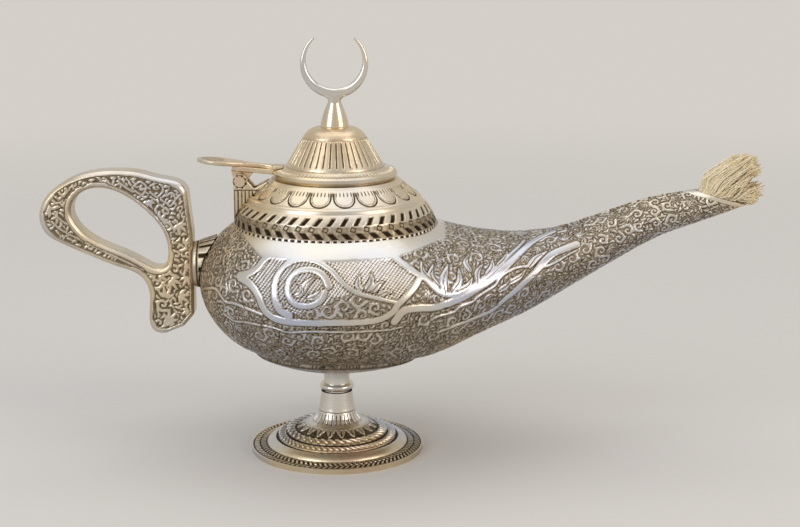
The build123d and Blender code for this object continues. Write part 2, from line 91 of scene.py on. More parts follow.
def add_node(tree, kind, settings=None, links=None):
    """A node with its settings and its linked or fixed inputs."""
    node = tree.nodes.new(kind)
    for key, value in (settings or {}).items():
        setattr(node, key, value)
    for key, value in (links or {}).items():
        if isinstance(value, bpy.types.NodeSocket):
            tree.links.new(value, node.inputs[key])
        else:
            node.inputs[key].default_value = value
    return node


def colour_ramp(tree, factor, stops):
    """A ramp from (place, hex colour) stops."""
    ramp = add_node(tree, "ShaderNodeValToRGB", links={"Fac": factor})
    elements = ramp.color_ramp.elements
    for _ in stops[2:]:
        elements.new(0.5)
    for element, (place, colour) in zip(elements, stops):
        element.position, element.color = place, linear(colour)
    return ramp.outputs["Color"]


def emptied(holder):
    """The node tree of a material or of the world, without its first nodes."""
    holder.use_nodes = True
    holder.node_tree.nodes.clear()
    return holder.node_tree


def object_place(tree):
    return add_node(tree, "ShaderNodeTexCoord").outputs["Object"]


def attribute(tree, name):
    return add_node(tree, "ShaderNodeAttribute", {"attribute_name": name}).outputs["Fac"]


def noise(tree, place, scale, detail, roughness=0.5):
    return add_node(tree, "ShaderNodeTexNoise", links={
        "Vector": place, "Scale": scale, "Detail": detail, "Roughness": roughness}).outputs["Fac"]


def maths(tree, operation, *values, clamp=False):
    """One sum on sockets or numbers."""
    return add_node(tree, "ShaderNodeMath", {"operation": operation, "use_clamp": clamp},
                    dict(enumerate(values))).outputs[0]


def mapped(tree, value, start, stop, low=0.0, high=1.0, way="SMOOTHSTEP"):
    """A value from start to stop, carried over to low to high."""
    return add_node(tree, "ShaderNodeMapRange", {"interpolation_type": way}, {
        "Value": value, "From Min": start, "From Max": stop, "To Min": low, "To Max": high}).outputs["Result"]


def blended(tree, share, one, other):
    """One colour where the share is 0, the other where it is 1."""
    return add_node(tree, "ShaderNodeMix", {"data_type": "RGBA"}, {0: share, 6: one, 7: other}).outputs[2]


def bumped(tree, height, strength, depth, under=None):
    """A bump of a depth in millimetres, laid over the one under it."""
    links = {"Height": height, "Strength": strength, "Distance": depth * MM}
    if under is not None:
        links["Normal"] = under
    return add_node(tree, "ShaderNodeBump", links=links).outputs["Normal"]


def principled(tree, links):
    """The surface of a material in one shader."""
    shader = add_node(tree, "ShaderNodeBsdfPrincipled", links=links)
    add_node(tree, "ShaderNodeOutputMaterial", links={"Surface": shader.outputs["BSDF"]})


def silver_plate(name, colours, roughness, matting, scratch, painted_reflection_tints=True):
    """Silver plate over brass: bright where handling has rubbed it, dark in the recesses.

    The colours are those of raised metal, wear, stain and patina, the roughness that of raised
    and of low metal. The recess attribute is 0 on raised work and 1 on the ground. Matting is the
    depth of the punched ground in millimetres, scratch that of the fine polishing marks."""
    material = bpy.data.materials.new(name)
    tree = emptied(material)
    bright, worn, stained, patina = (linear(colour) for colour in colours)
    place, recess = object_place(tree), attribute(tree, "recess")
    # cloudy tarnish, 25 mm across, and small spots, 2 mm across
    clouds = noise(tree, place, 40.0, 4.0, 0.6)
    spots = noise(tree, place, 520.0, 3.0, 0.55)
    if painted_reflection_tints:
        # painted reflections: cool and warm tints, drifting 60 mm across, stand in for reflected cool and warm light
        bright = colour_ramp(tree, noise(tree, place, 17.0, 1.0), [
            (0.35, "#c4cad9"), (0.48, colours[0]), (0.6, "#e0cfaf"), (0.7, "#ddc3ac")])
    # crossed graver lines, one way deep and the other light, on the hatched ground
    waves = []
    for way, pitch, share in (("hatch_a", 1.15, 1.0), ("hatch_b", 1.0, 0.45)):
        phase = maths(tree, "MULTIPLY", attribute(tree, way), 2 * math.pi / pitch)
        waves.append(maths(tree, "MULTIPLY", maths(tree, "SINE", phase), share))
    furrow = maths(tree, "MULTIPLY", maths(tree, "ADD", *waves), attribute(tree, "hatch"))
    # how low the metal lies, with ragged edges
    deep = maths(tree, "ADD", recess, maths(tree, "MULTIPLY_ADD", spots, 0.5, -0.25), clamp=True)
    deep = maths(tree, "MULTIPLY_ADD", furrow, -0.3, deep, clamp=True)
    low = mapped(tree, deep, 0.08, 0.5)
    colour = blended(tree, mapped(tree, clouds, 0.46, 0.72, 0.0, 0.55, "LINEAR"), bright, worn)
    colour = blended(tree, low, colour, stained)
    colour = blended(tree, mapped(tree, deep, 0.5, 1.0), colour, patina)
    rough = mapped(tree, low, 0.0, 1.0, *roughness, "LINEAR")
    rough = maths(tree, "MULTIPLY_ADD", clouds, 0.16, rough, clamp=True)
    # punched matting shows on the ground only, polishing marks everywhere
    punch = add_node(tree, "ShaderNodeTexVoronoi", links={"Vector": place, "Scale": 900.0}).outputs["Distance"]
    bump = bumped(tree, maths(tree, "MULTIPLY", punch, recess), 0.7, matting)
    bump = bumped(tree, furrow, 1.0, 0.09, bump)
    bump = bumped(tree, noise(tree, place, 1400.0, 2.0), 0.5, scratch, bump)
    principled(tree, {"Base Color": colour, "Metallic": 1.0, "Roughness": rough, "Normal": bump})
    return material


engraved_silver = silver_plate(
    "engraved_silver_plate", ("#dbd6cb", "#bbb09d", "#978b79", "#282119"), (0.24, 0.42), 0.3, 0.02)
cast_silver = silver_plate(
    "cast_silver_plate", ("#d6cec2", "#ac9d86", "#85775f", "#2a221a"), (0.24, 0.46), 0.3, 0.025)
polished_silver = silver_plate(
    "polished_silver_plate", ("#dcd7ce", "#bfb3a3", "#857765", "#3a3026"), (0.13, 0.4), 0.1, 0.008)
brazed_joint = silver_plate(
    "brazed_joint", ("#bfb5a2", "#96876f", "#6f6049", "#2f261b"), (0.3, 0.5), 0.3, 0.06, painted_reflection_tints=False)
bare_brass = silver_plate(
    "bare_cast_brass", ("#b3935a", "#8a6c3e", "#6b5230", "#3c2d1a"), (0.38, 0.6), 0.3, 0.06, painted_reflection_tints=False)
plated_steel = silver_plate(
    "zinc_plated_steel", ("#b9babb", "#8f9091", "#6d6e6e", "#4a4a4a"), (0.32, 0.5), 0.1, 0.03, painted_reflection_tints=False)


def cotton(name):
    """Unbleached loose-spun cotton: cream and matt, with painted shade between the fibres and the strands."""
    material = bpy.data.materials.new(name)
    tree = emptied(material)
    lint = noise(tree, object_place(tree), 900.0, 4.0, 0.65)
    # painted shade: the recess attribute darkens the cotton towards the brown of cotton in shadow; the lint noise
    # varies the tone at random
    tone = maths(tree, "MULTIPLY_ADD", lint, 0.5, attribute(tree, "recess"), clamp=True)
    colour = colour_ramp(tree, tone, [(0.15, "#f3e7c8"), (0.5, "#dcc79b"), (1.0, "#856c42")])
    principled(tree, {"Base Color": colour, "Roughness": 0.9, "Sheen Weight": 0.3,
                      "Normal": bumped(tree, lint, 0.6, 0.2)})
    return material


wick_cotton = cotton("spun_wick_cotton")


# ------------------------------------------------------------ mesh helpers
def plain_mesh(name, verts, faces):
    """A bare mesh from points in millimetres."""
    mesh = bpy.data.meshes.new(name)
    mesh.from_pydata((np.asarray(verts) * MM).tolist(), [], faces)
    mesh.update()
    return mesh


def evaluated(scene_object):
    """The mesh of an object with its modifiers run."""
    bpy.context.view_layer.update()
    return bpy.data.meshes.new_from_object(scene_object.evaluated_get(bpy.context.evaluated_depsgraph_get()))


def take_place(piece, body, node, material):
    """Puts a piece on the body it rides on and hides the CAD piece it replaces; its material is not used."""
    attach(piece, body)
    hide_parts(node)


def new_piece(name, verts, faces, material, body, node, attributes=None, weld=False, sharp=38):
    """A finished piece from points in millimetres, in the place of its CAD node."""
    mesh = plain_mesh(name, verts, faces)
    for key, values in (attributes or {}).items():
        layer = mesh.attributes.new(key, "FLOAT", "POINT")
        layer.data.foreach_set("value", np.asarray(values, dtype=np.float32).ravel())
    if weld:
        build = bmesh.new()
        build.from_mesh(mesh)
        bmesh.ops.remove_doubles(build, verts=build.verts, dist=2e-6)
        bmesh.ops.dissolve_degenerate(build, edges=build.edges, dist=1e-6)
        build.to_mesh(mesh)
        build.free()
    mesh.polygons.foreach_set("use_smooth", [True] * len(mesh.polygons))
    mesh.set_sharp_from_angle(angle=math.radians(sharp))
    mesh.materials.append(material)
    take_place(in_scene(name, mesh), body, node, material)


def grid_faces(rows, cols, wrap_rows=False, wrap_cols=False, flip=False, first=0):
    """Quads of a rows by cols grid of vertices."""
    i = np.arange(rows if wrap_rows else rows - 1)
    j = np.arange(cols if wrap_cols else cols - 1)
    i, j = [a.ravel() for a in np.meshgrid(i, j, indexing="ij")]
    i2, j2 = (i + 1) % rows, (j + 1) % cols
    quads = np.stack([i * cols + j, i2 * cols + j, i2 * cols + j2, i * cols + j2], axis=1) + first
    return (quads[:, ::-1] if flip else quads).tolist()


def tube_faces(rows, cols, flip=True, first=0, back=True, front=True):
    """Faces of a tube of rings, with a flat end at its back and front."""
    faces = grid_faces(rows, cols, wrap_cols=True, flip=flip, first=first)
    ends = [list(range(first + row * cols, first + (row + 1) * cols)) for row in (0, rows - 1)]
    if back:
        faces.append(ends[0][::-1] if flip else ends[0])
    if front:
        faces.append(ends[1] if flip else ends[1][::-1])
    return faces


def arc_points(a, b, bulge, count=8):
    """Points of a shallow arc from a to b that bulges to the right of its way by bulge."""
    a, b = np.array(a, float), np.array(b, float)
    t = np.linspace(0, 1, count)[:, None]
    side = np.array([b[1] - a[1], a[0] - b[0]]) / np.linalg.norm(b - a)
    return (a + (b - a) * t + side * bulge * 4 * t * (1 - t)).tolist()


def profile(*places):
    """Points of a profile. A place with a third number is reached by an arc of that bulge."""
    points = [places[0]]
    for place in places[1:]:
        points += arc_points(points[-1], place[:2], place[2])[1:] if len(place) > 2 else [place]
    return points


def resample(points, step):
    """Even points along a polyline, its own corners kept."""
    out = [points[0]]
    for a, b in zip(points, points[1:]):
        a, b = np.array(a, float), np.array(b, float)
        n = max(1, int(math.ceil(np.linalg.norm(b - a) / step)))
        out += [tuple(a + (b - a) * k / n) for k in range(1, n + 1)]
    return np.array(out)


def way_along(points):
    """How far along a polyline each of its points is."""
    return np.concatenate([[0], np.cumsum(np.linalg.norm(np.diff(points, axis=0), axis=1))])


def smooth_step(x, low, high):
    t = np.clip((x - low) / (high - low), 0, 1)
    return t * t * (3 - 2 * t)


def line_at(gap, near, far):
    """1 on a line, falling to 0 between two distances on either side of it."""
    return 1 - smooth_step(np.abs(gap), near, far)


def band_of(value, low, high, soft=0.25):
    """1 between two heights or radii, falling off softly outside them."""
    return smooth_step(value, low - soft, low + soft) * (1 - smooth_step(value, high - soft, high + soft))


def ring_wave(angle, count, skew=0.0):
    """A place from 0 to 1 within each of the repeats round a ring."""
    return np.mod(angle * count / (2 * math.pi) + skew, 1.0)


def off_middle(angle, count, radius):
    """How far along a ring of this radius a place is from the middle of its repeat."""
    return np.abs(ring_wave(angle, count) - 0.5) * 2 * math.pi / count * radius


def bar(place, half, soft=0.08):
    """1 inside a bar in the middle of each repeat of length 1."""
    return 1 - smooth_step(np.abs(np.mod(place, 1.0) - 0.5), half - soft, half + soft)


FINE = 0.3  # step along a turned profile in millimetres


def turned(name, shown, hidden, spokes, material, body, node, relief=None):
    """A piece turned about the lamp's axis from a closed profile of (radius, height) points,
    wound anticlockwise in the half plane: first the shown run, then the hidden one, which is coarse.
    relief gives, for each angle and profile point, how far the surface is cut back in millimetres
    and its recess value."""
    outline = np.vstack([resample(shown, FINE)[:-1],
                         resample([shown[-1]] + hidden + [shown[0]], 8 * FINE)[:-1]])
    along = np.roll(outline, -1, 0) - np.roll(outline, 1, 0)
    along /= np.linalg.norm(along, axis=1)[:, None] + 1e-12
    angle, r = np.meshgrid(np.arange(spokes) * 2 * math.pi / spokes, outline[:, 0], indexing="ij")
    z = np.broadcast_to(outline[:, 1], r.shape)
    depth, recess = relief(angle, r, z) if relief else (np.zeros_like(r), np.zeros_like(r))
    radius, height = r - depth * along[:, 1], z + depth * along[:, 0]
    verts = np.stack([radius * np.cos(angle), radius * np.sin(angle), height], axis=-1).reshape(-1, 3)
    faces = grid_faces(*r.shape, wrap_rows=True, wrap_cols=True)
    new_piece(name, verts, faces, material, body, node, {"recess": recess})


# ----------------------------------------------------- the bowl's and spout's shape
BOWL_R, BOWL_RISE, BOWL_DEPTH, WAIST, WALL, BOWL_BASE = 57.2, 35.0, 39.1, 74.9, 2.2, 36.3
SPOUT_REACH, SEAT, SEAT_R, LINING_R = 178.0, 97.9, 42.8, 39.4
MOUTH_BACK, MOUTH_TIP = (147.7, 112.7), (172.2, 106.0)
# Stations along the spout: x as a share of its reach, half width as a share of the bowl's radius,
# then middle, top and low as shares of the bowl's rise and depth above or below its waist
STATIONS = np.array([
    (0.0, 1.0, 0.0, 1.0, -1.0), (0.11, 0.962, 0.0, 0.931, -0.954),
    (0.24, 0.815, 0.0, 0.669, -0.783), (0.35, 0.61, 0.04, 0.563, -0.56),
    (0.45, 0.445, 0.12, 0.549, -0.358), (0.55, 0.325, 0.274, 0.64, -0.094),
    (0.65, 0.242, 0.486, 0.829, 0.176), (0.75, 0.182, 0.686, 0.989, 0.43),
    (0.86, 0.145, 0.85, 1.08, 0.617), (0.93, 0.136, 0.95, 1.125, 0.733),
    (1.0, 0.126, 1.05, 1.17, 0.868),
])
STATION_X = STATIONS[:, 0] * SPOUT_REACH
STATION_W = STATIONS[:, 1] * BOWL_R
STATION_MID = WAIST + STATIONS[:, 2] * BOWL_RISE
STATION_TOP = WAIST + STATIONS[:, 3] * BOWL_RISE
STATION_LOW = WAIST + STATIONS[:, 4] * BOWL_DEPTH


def through(xs, ys, x):
    """A smooth curve through the stations that leaves the first one level."""
    h = np.diff(xs)
    d = np.diff(ys) / h
    m = np.zeros_like(ys)
    m[1:-1] = (h[1:] * d[:-1] + h[:-1] * d[1:]) / (h[1:] + h[:-1])
    m[-1] = d[-1]
    k = np.clip(np.searchsorted(xs, x, side="right") - 1, 0, len(xs) - 2)
    t = (x - xs[k]) / h[k]
    return ((2 * t**3 - 3 * t**2 + 1) * ys[k] + (t**3 - 2 * t**2 + t) * h[k] * m[k]
            + (3 * t**2 - 2 * t**3) * ys[k + 1] + (t**3 - t**2) * h[k] * m[k + 1])


def sections(x, inset=0.0):
    """Middle height, half width, rise and drop of the wall's sections at x."""
    back = np.sqrt(np.clip(1 - (x / (BOWL_R - inset)) ** 2, 0, 1))
    local = inset * (1 - 0.35 * np.clip(x, 0, None) / SPOUT_REACH)
    xc = np.clip(x, 0, SPOUT_REACH)
    mid = np.where(x < 0, WAIST, through(STATION_X, STATION_MID, xc))
    wide = np.where(x < 0, (BOWL_R - inset) * back, through(STATION_X, STATION_W, xc) - local)
    rise = np.where(x < 0, (BOWL_RISE - inset) * back, through(STATION_X, STATION_TOP, xc) - mid - local)
    drop = np.where(x < 0, (BOWL_DEPTH - inset) * back, mid - through(STATION_X, STATION_LOW, xc) - local)
    return mid, np.maximum(wide, 0), np.maximum(rise, 0), np.maximum(drop, 0)


def mouth_height(x):
    """Height of the mouth's cutting plane at x."""
    return MOUTH_BACK[1] + (MOUTH_TIP[1] - MOUTH_BACK[1]) * (x - MOUTH_BACK[0]) / (MOUTH_TIP[0] - MOUTH_BACK[0])


def last_angle(x, inset):
    """How far up each section the wall goes: to the crown, the shoulder's seat or the mouth."""
    mid, wide, rise, drop = sections(x, inset)
    edge = math.pi / 2 * np.ones_like(x)
    if inset:
        cap = (SEAT - mid) / np.maximum(rise, 1e-6)
        edge = np.where((np.abs(x) < LINING_R) & (cap < 1), np.arcsin(np.clip(cap, -1, 1)), edge)
    else:
        inside = np.sqrt(np.clip(SEAT_R**2 - x**2, 0, None)) / np.maximum(wide, 1e-6)
        edge = np.where(inside > 0, np.arccos(np.clip(inside, 0, 1)), edge)
    over = mouth_height(x) - mid
    lip = np.where(over > 0, over / np.maximum(rise, 1e-6), over / np.maximum(drop, 1e-6))
    return np.where(x > MOUTH_BACK[0] - 1, np.minimum(edge, np.arcsin(np.clip(lip, -1, 1))), edge)


def wall_points(xs, inset, count):
    """Rows of near-side wall points, evenly spaced from the keel up to each section's edge."""
    mid, wide, rise, drop = sections(xs, inset)
    edge = last_angle(xs, inset)
    rows = []
    for k, x in enumerate(xs):
        angle = np.linspace(-math.pi / 2, edge[k], 500)
        y = -wide[k] * np.cos(angle)
        z = mid[k] + np.where(angle > 0, rise[k], drop[k]) * np.sin(angle)
        way = np.concatenate([[0], np.cumsum(np.hypot(np.diff(y), np.diff(z)))])
        even = np.linspace(0, way[-1], count)
        rows.append(np.stack([np.full(count, x), np.interp(even, way, y), np.interp(even, way, z)], axis=1))
    points = np.array(rows)
    points[..., 2] = np.maximum(points[..., 2], BOWL_BASE + inset)
    return points


def tip_of(inset):
    """Where the keel meets the mouth's plane."""
    x = np.linspace(150, 176, 2000)
    mid, _, _, drop = sections(x, inset)
    return x[np.argmax(mid - drop > mouth_height(x))]


def wall_normals(points):
    """Outward unit normals of a grid of near-side points."""
    n = np.cross(np.gradient(points, axis=1), np.gradient(points, axis=0))
    n /= np.linalg.norm(n, axis=-1, keepdims=True) + 1e-12
    keel = np.abs(n[..., 1:2]) < 0.02
    away = np.sign(np.sum(n * (points - np.array([0.0, 0.0, WAIST])), axis=-1, keepdims=True))
    return n * np.where(keel, away, -np.sign(n[..., 1:2]))


# Each half is modelled as two pieces, the bowl and the spout, which meet at CUT_X.
CUT_X = 46.0
ROW_STEP, LINING_COLS = ((0.325, 36))
BOWL_COLS, SPOUT_COLS = ((224, 200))
outer_tip, inner_tip = tip_of(0.0), tip_of(WALL)
# Rows crowd at the back pole and where the seat's circle begins, so that none of them is skewed.
seat_turn = math.acos(SEAT_R / BOWL_R)
seat_rows = int(SEAT_R * 1.55 / ROW_STEP * 0.66)
BOWL_ROWS = np.concatenate([
    -BOWL_R * np.cos(np.linspace(0, seat_turn, int(BOWL_R * seat_turn / ROW_STEP * 0.66), endpoint=False)),
    -SEAT_R * np.cos(np.linspace(0, math.pi / 2, seat_rows, endpoint=False)),
    SEAT_R * np.sin(np.linspace(0, math.pi / 2, seat_rows, endpoint=False)),
    np.linspace(SEAT_R, CUT_X, 8),
])
SPOUT_ROWS = np.linspace(CUT_X, outer_tip, int((outer_tip - CUT_X) / ROW_STEP))

POINTS_AT_ONCE, STROKES_AT_ONCE = 4000, 400  # to keep the arrays of one step small


class Wall:
    """One near-side stretch of the wall with its engraving."""

    def __init__(self, xs, cols):
        self.xs = xs
        self.skin = wall_points(xs, 0.0, cols)
        self.normal = wall_normals(self.skin)
        self.u, self.v = seen_at(self.skin)
        # the lining's rows keep pace with the skin's, but end where the lining does
        inner = np.where(xs < -50, -55.0 + (xs + BOWL_R) * 5.0 / 7.2, xs)
        inner = np.where(xs > 160, 160 + (xs - 160) * (inner_tip - 160) / (outer_tip - 160), inner)
        self.lining = wall_points(inner, WALL, LINING_COLS)
        self.row_step = np.linalg.norm(np.gradient(self.skin, axis=0), axis=-1)
        self.col_step = np.linalg.norm(np.gradient(self.skin, axis=1), axis=-1)
        self.ribbon, self.raised, self.groove = (np.full(self.skin.shape[:2], FAR) for _ in range(3))

    def splat(self, field, points, half):
        """Lowers the field to the distance from the nearest stroke's edge, near the strokes."""
        inside = (points[:, 0] > self.xs[0] - 4) & (points[:, 0] < self.xs[-1] + 4)
        if not inside.any():
            return
        points, half = points[inside], half[inside]
        rows = np.clip(np.searchsorted(self.xs, points[:, 0]), 0, len(self.xs) - 1)
        cols = np.zeros(len(points), int)
        for k in range(0, len(points), POINTS_AT_ONCE):
            part = slice(k, k + POINTS_AT_ONCE)
            gap = self.skin[rows[part]] - points[part][:, None, :]
            cols[part] = np.argmin(np.sum(gap**2, axis=-1), axis=1)
        reach = half + 0.9
        rows_out, cols_out = (np.clip(reach / np.maximum(step[rows, cols], 0.06), 2, 40).astype(int) + 1
                              for step in (self.row_step, self.col_step))
        order = np.lexsort((cols_out, rows_out))
        for k in range(0, len(order), STROKES_AT_ONCE):
            part = order[k:k + STROKES_AT_ONCE]
            i, j = (np.arange(-out[part].max(), out[part].max() + 1) for out in (rows_out, cols_out))
            ii, jj = np.broadcast_arrays(rows[part][:, None, None] + i[None, :, None],
                                         cols[part][:, None, None] + j[None, None, :])
            ok = (ii >= 0) & (ii < field.shape[0]) & (jj >= 0) & (jj < field.shape[1])
            who = np.broadcast_to(part[:, None, None], ii.shape)[ok]
            ii, jj = ii[ok], jj[ok]
            gap = np.linalg.norm(self.skin[ii, jj] - points[who], axis=-1) - half[who]
            np.minimum.at(field, (ii, jj), gap)


bowl_wall = Wall(BOWL_ROWS, BOWL_COLS)
spout_wall = Wall(SPOUT_ROWS, SPOUT_COLS)
walls = (bowl_wall, spout_wall)

coarse = wall_points(np.concatenate([BOWL_ROWS[:-1:3], SPOUT_ROWS[::3]]), 0.0, 120)
whole_side = BVHTree.FromPolygons(coarse.reshape(-1, 3).tolist(), grid_faces(coarse.shape[0], coarse.shape[1]))


def on_wall(u, v):
    """The near wall's point in millimetres that shows at one place of the frame, or None."""
    hit = whole_side.ray_cast(Vector(CAMERA_AT), Vector(sight_line(u, v)))[0]
    return None if hit is None else np.array(hit)


def curve_through(points, step):
    """Even samples of a smooth curve through 2-D or 3-D points, and the share of the way of each."""
    p = np.array(points, float)
    if len(p) == 2:
        dense = p[0] + (p[1] - p[0]) * np.linspace(0, 1, 40)[:, None]
    else:
        ends = np.vstack([2 * p[0] - p[1], p, 2 * p[-1] - p[-2]])
        t = np.linspace(0, 1, 12, endpoint=False)[:, None]
        dense = [0.5 * (2 * b + (c - a) * t + (2 * a - 5 * b + 4 * c - d) * t**2 + (3 * b - a - 3 * c + d) * t**3)
                 for a, b, c, d in zip(ends, ends[1:], ends[2:], ends[3:])]
        dense = np.vstack(dense + [p[-1:]])
    way = way_along(dense)
    even = np.linspace(0, way[-1], max(3, int(way[-1] / step) + 1))
    return np.stack([np.interp(even, way, dense[:, k]) for k in range(p.shape[1])], axis=1), even / way[-1]


def engrave(field, points, half, start=1.0, end=1.0, leaf=False):
    """One stroke in the frame's places. half is its half width in millimetres, start
    and end the shares of it at the two ends; a leaf swells in its first half and ends in a point."""
    places, share = curve_through(points, 0.7)
    width = half * (np.sin(math.pi * share**0.62) if leaf else start + (end - start) * share)
    kept, halves = [], []
    for (u, v), w in zip(places, width):
        hit = on_wall(u, v)
        if hit is not None:
            kept.append(hit)
            halves.append(w)
    if kept:
        for wall in walls:
            wall.splat(getattr(wall, field), np.array(kept), np.array(halves))


# The broad ribbons and scrolls of the front, followed in the photograph: places of the frame, half
# width in millimetres and its share at both ends
RIBBONS = [
    ([(238.8, 275.3), (247.3, 273.5), (256.5, 268.1), (262.7, 260.4), (270.4, 255), (281.2, 252.2)], 1.35, 1, 1),
    ([(396.5, 302.7), (379.6, 298.8), (361.2, 294.2), (348.8, 288.1), (339.6, 279.6), (330.4, 269.6),
      (318.1, 261.9), (305.8, 258.8), (293.5, 260.4), (283.5, 266.5), (276.5, 276.5), (273.8, 288.8),
      (275, 301.2), (279.6, 310.4), (288.8, 315.8)], 1.35, 0.4, 1.0),
    ([(328.8, 285.8), (324.2, 276.5), (316.5, 270.7), (305.8, 269.2), (296.5, 271.9), (289.6, 278.8),
      (287.3, 288.1), (288.8, 297.3), (295, 304.2), (304.2, 306.5), (313.5, 305), (321.2, 299.6),
      (325, 291.9)], 1.15, 1, 0.8),
    ([(239.6, 277.3), (248.1, 282.7), (254.2, 289.6), (258.8, 298.1), (261.9, 306.5), (267.3, 314.2),
      (276.5, 319.6), (290.4, 322.4), (308.8, 323.5), (330.4, 323.5), (353.5, 323), (371.9, 321.5),
      (384.2, 318.1), (393.5, 311.9), (398.8, 304.2), (407.3, 296), (415, 287), (419.6, 279)], 1.3, 1, 0.8),
    ([(360, 248.5), (376, 250), (388, 252.5), (397, 258.5), (404, 264), (412, 270), (420, 275), (427, 279),
      (433.5, 286), (441.2, 292.5), (453.5, 295), (464.2, 291)], 1.7, 1, 0.5),
    ([(395, 321.9), (404.2, 311.2), (418.1, 308.4), (433.5, 307.8), (448.8, 303.5), (462.7, 298.1),
      (476.5, 289.6), (490.4, 280.4), (502.7, 269.6), (513.5, 258.8), (522.7, 249.6), (530.4, 242.7),
      (541, 236), (553, 231)], 1.35, 1, 0.8),
    ([(464, 291), (475, 284.5), (487.3, 275.3), (499.6, 264.5), (510.4, 253.8), (519, 245.5), (524, 240)],
     0.75, 1, 0.8),
    ([(431.9, 319.6), (441.2, 315.8), (453.5, 312.7), (461.2, 306.5), (471.9, 302.7), (478.1, 297.3),
      (485.8, 291.9), (495, 285.8), (499.6, 278.8), (505.8, 272.7), (516.5, 267.3), (527.3, 265.8)], 0.5, 1, 1),
    ([(438.1, 332.7), (450.4, 328.1), (464.2, 322.7), (478.1, 317.3), (491.9, 311.2), (502.7, 301.9),
      (515, 291.9), (527.3, 280.4), (536.5, 271.2), (544.2, 261.9), (551.9, 254.2), (561.2, 249.6),
      (576, 244)], 1.4, 0.4, 1),
    ([(262.7, 325.8), (275, 328.8), (287.3, 332.7), (301.2, 332.2), (318.1, 332.2), (341.2, 332.7),
      (364.2, 331.9), (387.3, 330.4), (402.7, 327.3)], 0.38, 1, 1),
    ([(222.7, 313.5), (233.5, 321.2), (245.8, 322.7), (259.6, 325.8)], 0.4, 1, 1),
    ([(204.2, 288.8), (215, 288.8), (224.2, 301.2), (235, 304.2), (261.2, 315)], 0.5, 1, 1),
    ([(505.8, 287.6), (505.8, 288.6)], 0.9, 1, 1),
    ([(540, 268), (552, 264), (566, 256), (577, 250)], 0.5, 1, 0.6),
]
# The leaves beside them: places of the frame and half width in millimetres
LEAVES = [
    ([(293.5, 296.5), (300.6, 293.5), (301.6, 286.4), (295, 281)], 1.0),
    ([(302.7, 294.5), (305.4, 285), (312.5, 278.6), (320, 276.6)], 1.1),
    ([(306.5, 298.5), (314, 297), (319.6, 292), (321.8, 285.5)], 1.1),
    ([(445.8, 293), (443.5, 281), (448.8, 261.9)], 1.5),
    ([(452, 292), (460, 281), (459, 266)], 1.3), ([(458, 291), (468, 286), (474, 276)], 1.2),
    ([(440, 287), (431, 276), (434, 262)], 1.3), ([(433, 281), (424, 272), (421, 258)], 1.1),
    ([(366, 291), (371, 283), (372, 272)], 1.2), ([(372, 292), (379, 284), (385, 281)], 1.1),
    ([(362, 291), (358, 284), (360, 274)], 1.0), ([(378, 296), (386, 292), (394, 293)], 1.0),
    ([(478, 283), (478, 272), (484, 262)], 1.1), ([(486, 275), (492, 268), (493, 257)], 1.1),
    ([(497, 266), (505, 258), (508, 248)], 1.0), ([(472, 272), (466, 262), (470, 252)], 1.1),
    ([(283, 300), (282, 308), (290, 311)], 0.7),
    ([(498, 292), (508, 285), (512, 276)], 1.1), ([(508, 284), (520, 277), (527, 268)], 1.1),
    ([(484, 301), (490, 296), (498, 296)], 0.8), ([(528, 268), (536, 258), (548, 250)], 1.2),
]
for points, half, start, end in RIBBONS:
    engrave("ribbon", points, half * 1.22, start, end)
for points, half in LEAVES:
    engrave("ribbon", points, half * 1.15, leaf=True)
    engrave("groove", points[:-1] + [tuple((np.array(points[-2]) + points[-1]) / 2)], 0.12)
for wall in walls:
    wall.raised = wall.ribbon.copy()

SCROLL_TURN = 7.6  # radians from a scroll's eye to its end


def spiral(share, size):
    """Angle and radius of a scroll at a share of its way."""
    return SCROLL_TURN * share, size * (0.1 + 0.9 * share ** 0.85)


def motif_strokes(kind, size):
    """Flat strokes of one scroll, leaf group, rosette or filling leaf: (field, places, half widths)."""
    if kind == "scroll":
        t = np.linspace(0, 1, 40)
        turn, r = spiral(t, size)
        lines = [("raised", np.stack([r * np.cos(turn), r * np.sin(turn)], 1), 0.3 + 0.13 * size * t)]
        for at in (0.62, 0.8, 0.99):
            turn, r = spiral(at, size)
            base = np.array([r * math.cos(turn), r * math.sin(turn)])
            way = np.array([math.cos(turn + 0.95), math.sin(turn + 0.95)])
            s = np.linspace(0, 1, 12)[:, None]
            bend = np.array([-way[1], way[0]]) * 0.4 * size
            lines.append(("raised", base + way * size * 0.85 * s + bend * s * (1 - s),
                          (0.1 + 0.2 * size) * np.sin(math.pi * s[:, 0] ** 0.6) + 0.05))
    elif kind == "leaf":
        lines = []
        for lean in (-1.0, -0.33, 0.33, 1.0):
            way = np.array([math.sin(lean), math.cos(lean)])
            s = np.linspace(0, 1, 14)[:, None]
            bend = np.array([way[1], -way[0]]) * 0.6 * size * lean
            stroke = np.array([0, -0.8 * size]) + way * size * (2.0 - 0.5 * abs(lean)) * s + bend * s * (1 - s)
            lines.append(("raised", stroke, (0.12 + 0.2 * size) * np.sin(math.pi * s[:, 0] ** 0.7) + 0.05))
            lines.append(("groove", stroke[3:-3], np.full(8, 0.05)))
    elif kind == "rosette":
        lines = [("raised", np.array([[0.0, 0.0]]), np.array([0.24 * size]))]
        for k in range(6):
            a = k * math.pi / 3
            s = np.linspace(0.42, 1, 8)[:, None]
            lines.append(("raised", np.array([math.cos(a), math.sin(a)]) * size * 0.95 * s,
                          0.26 * size * np.sin(math.pi * (s[:, 0] - 0.36) / 0.7)))
    else:
        s = np.linspace(-1, 1, 7)[:, None]
        curl = rng.uniform(-0.8, 0.8)
        lines = [("raised", np.array([1.0, 0.0]) * size * s + np.array([0.0, curl * size]) * s**2,
                  0.3 * size * (1 - s[:, 0] ** 2) + 0.12)]
    return lines


def motif(kind, centre, across, up, size):
    """The same strokes laid on the wall: (field, points, half widths)."""
    for field, flat, halves in motif_strokes(kind, size):
        spots = [whole_side.find_nearest(Vector(centre + across * x + up * y))[0] for x, y in flat]
        yield field, np.array(spots), halves


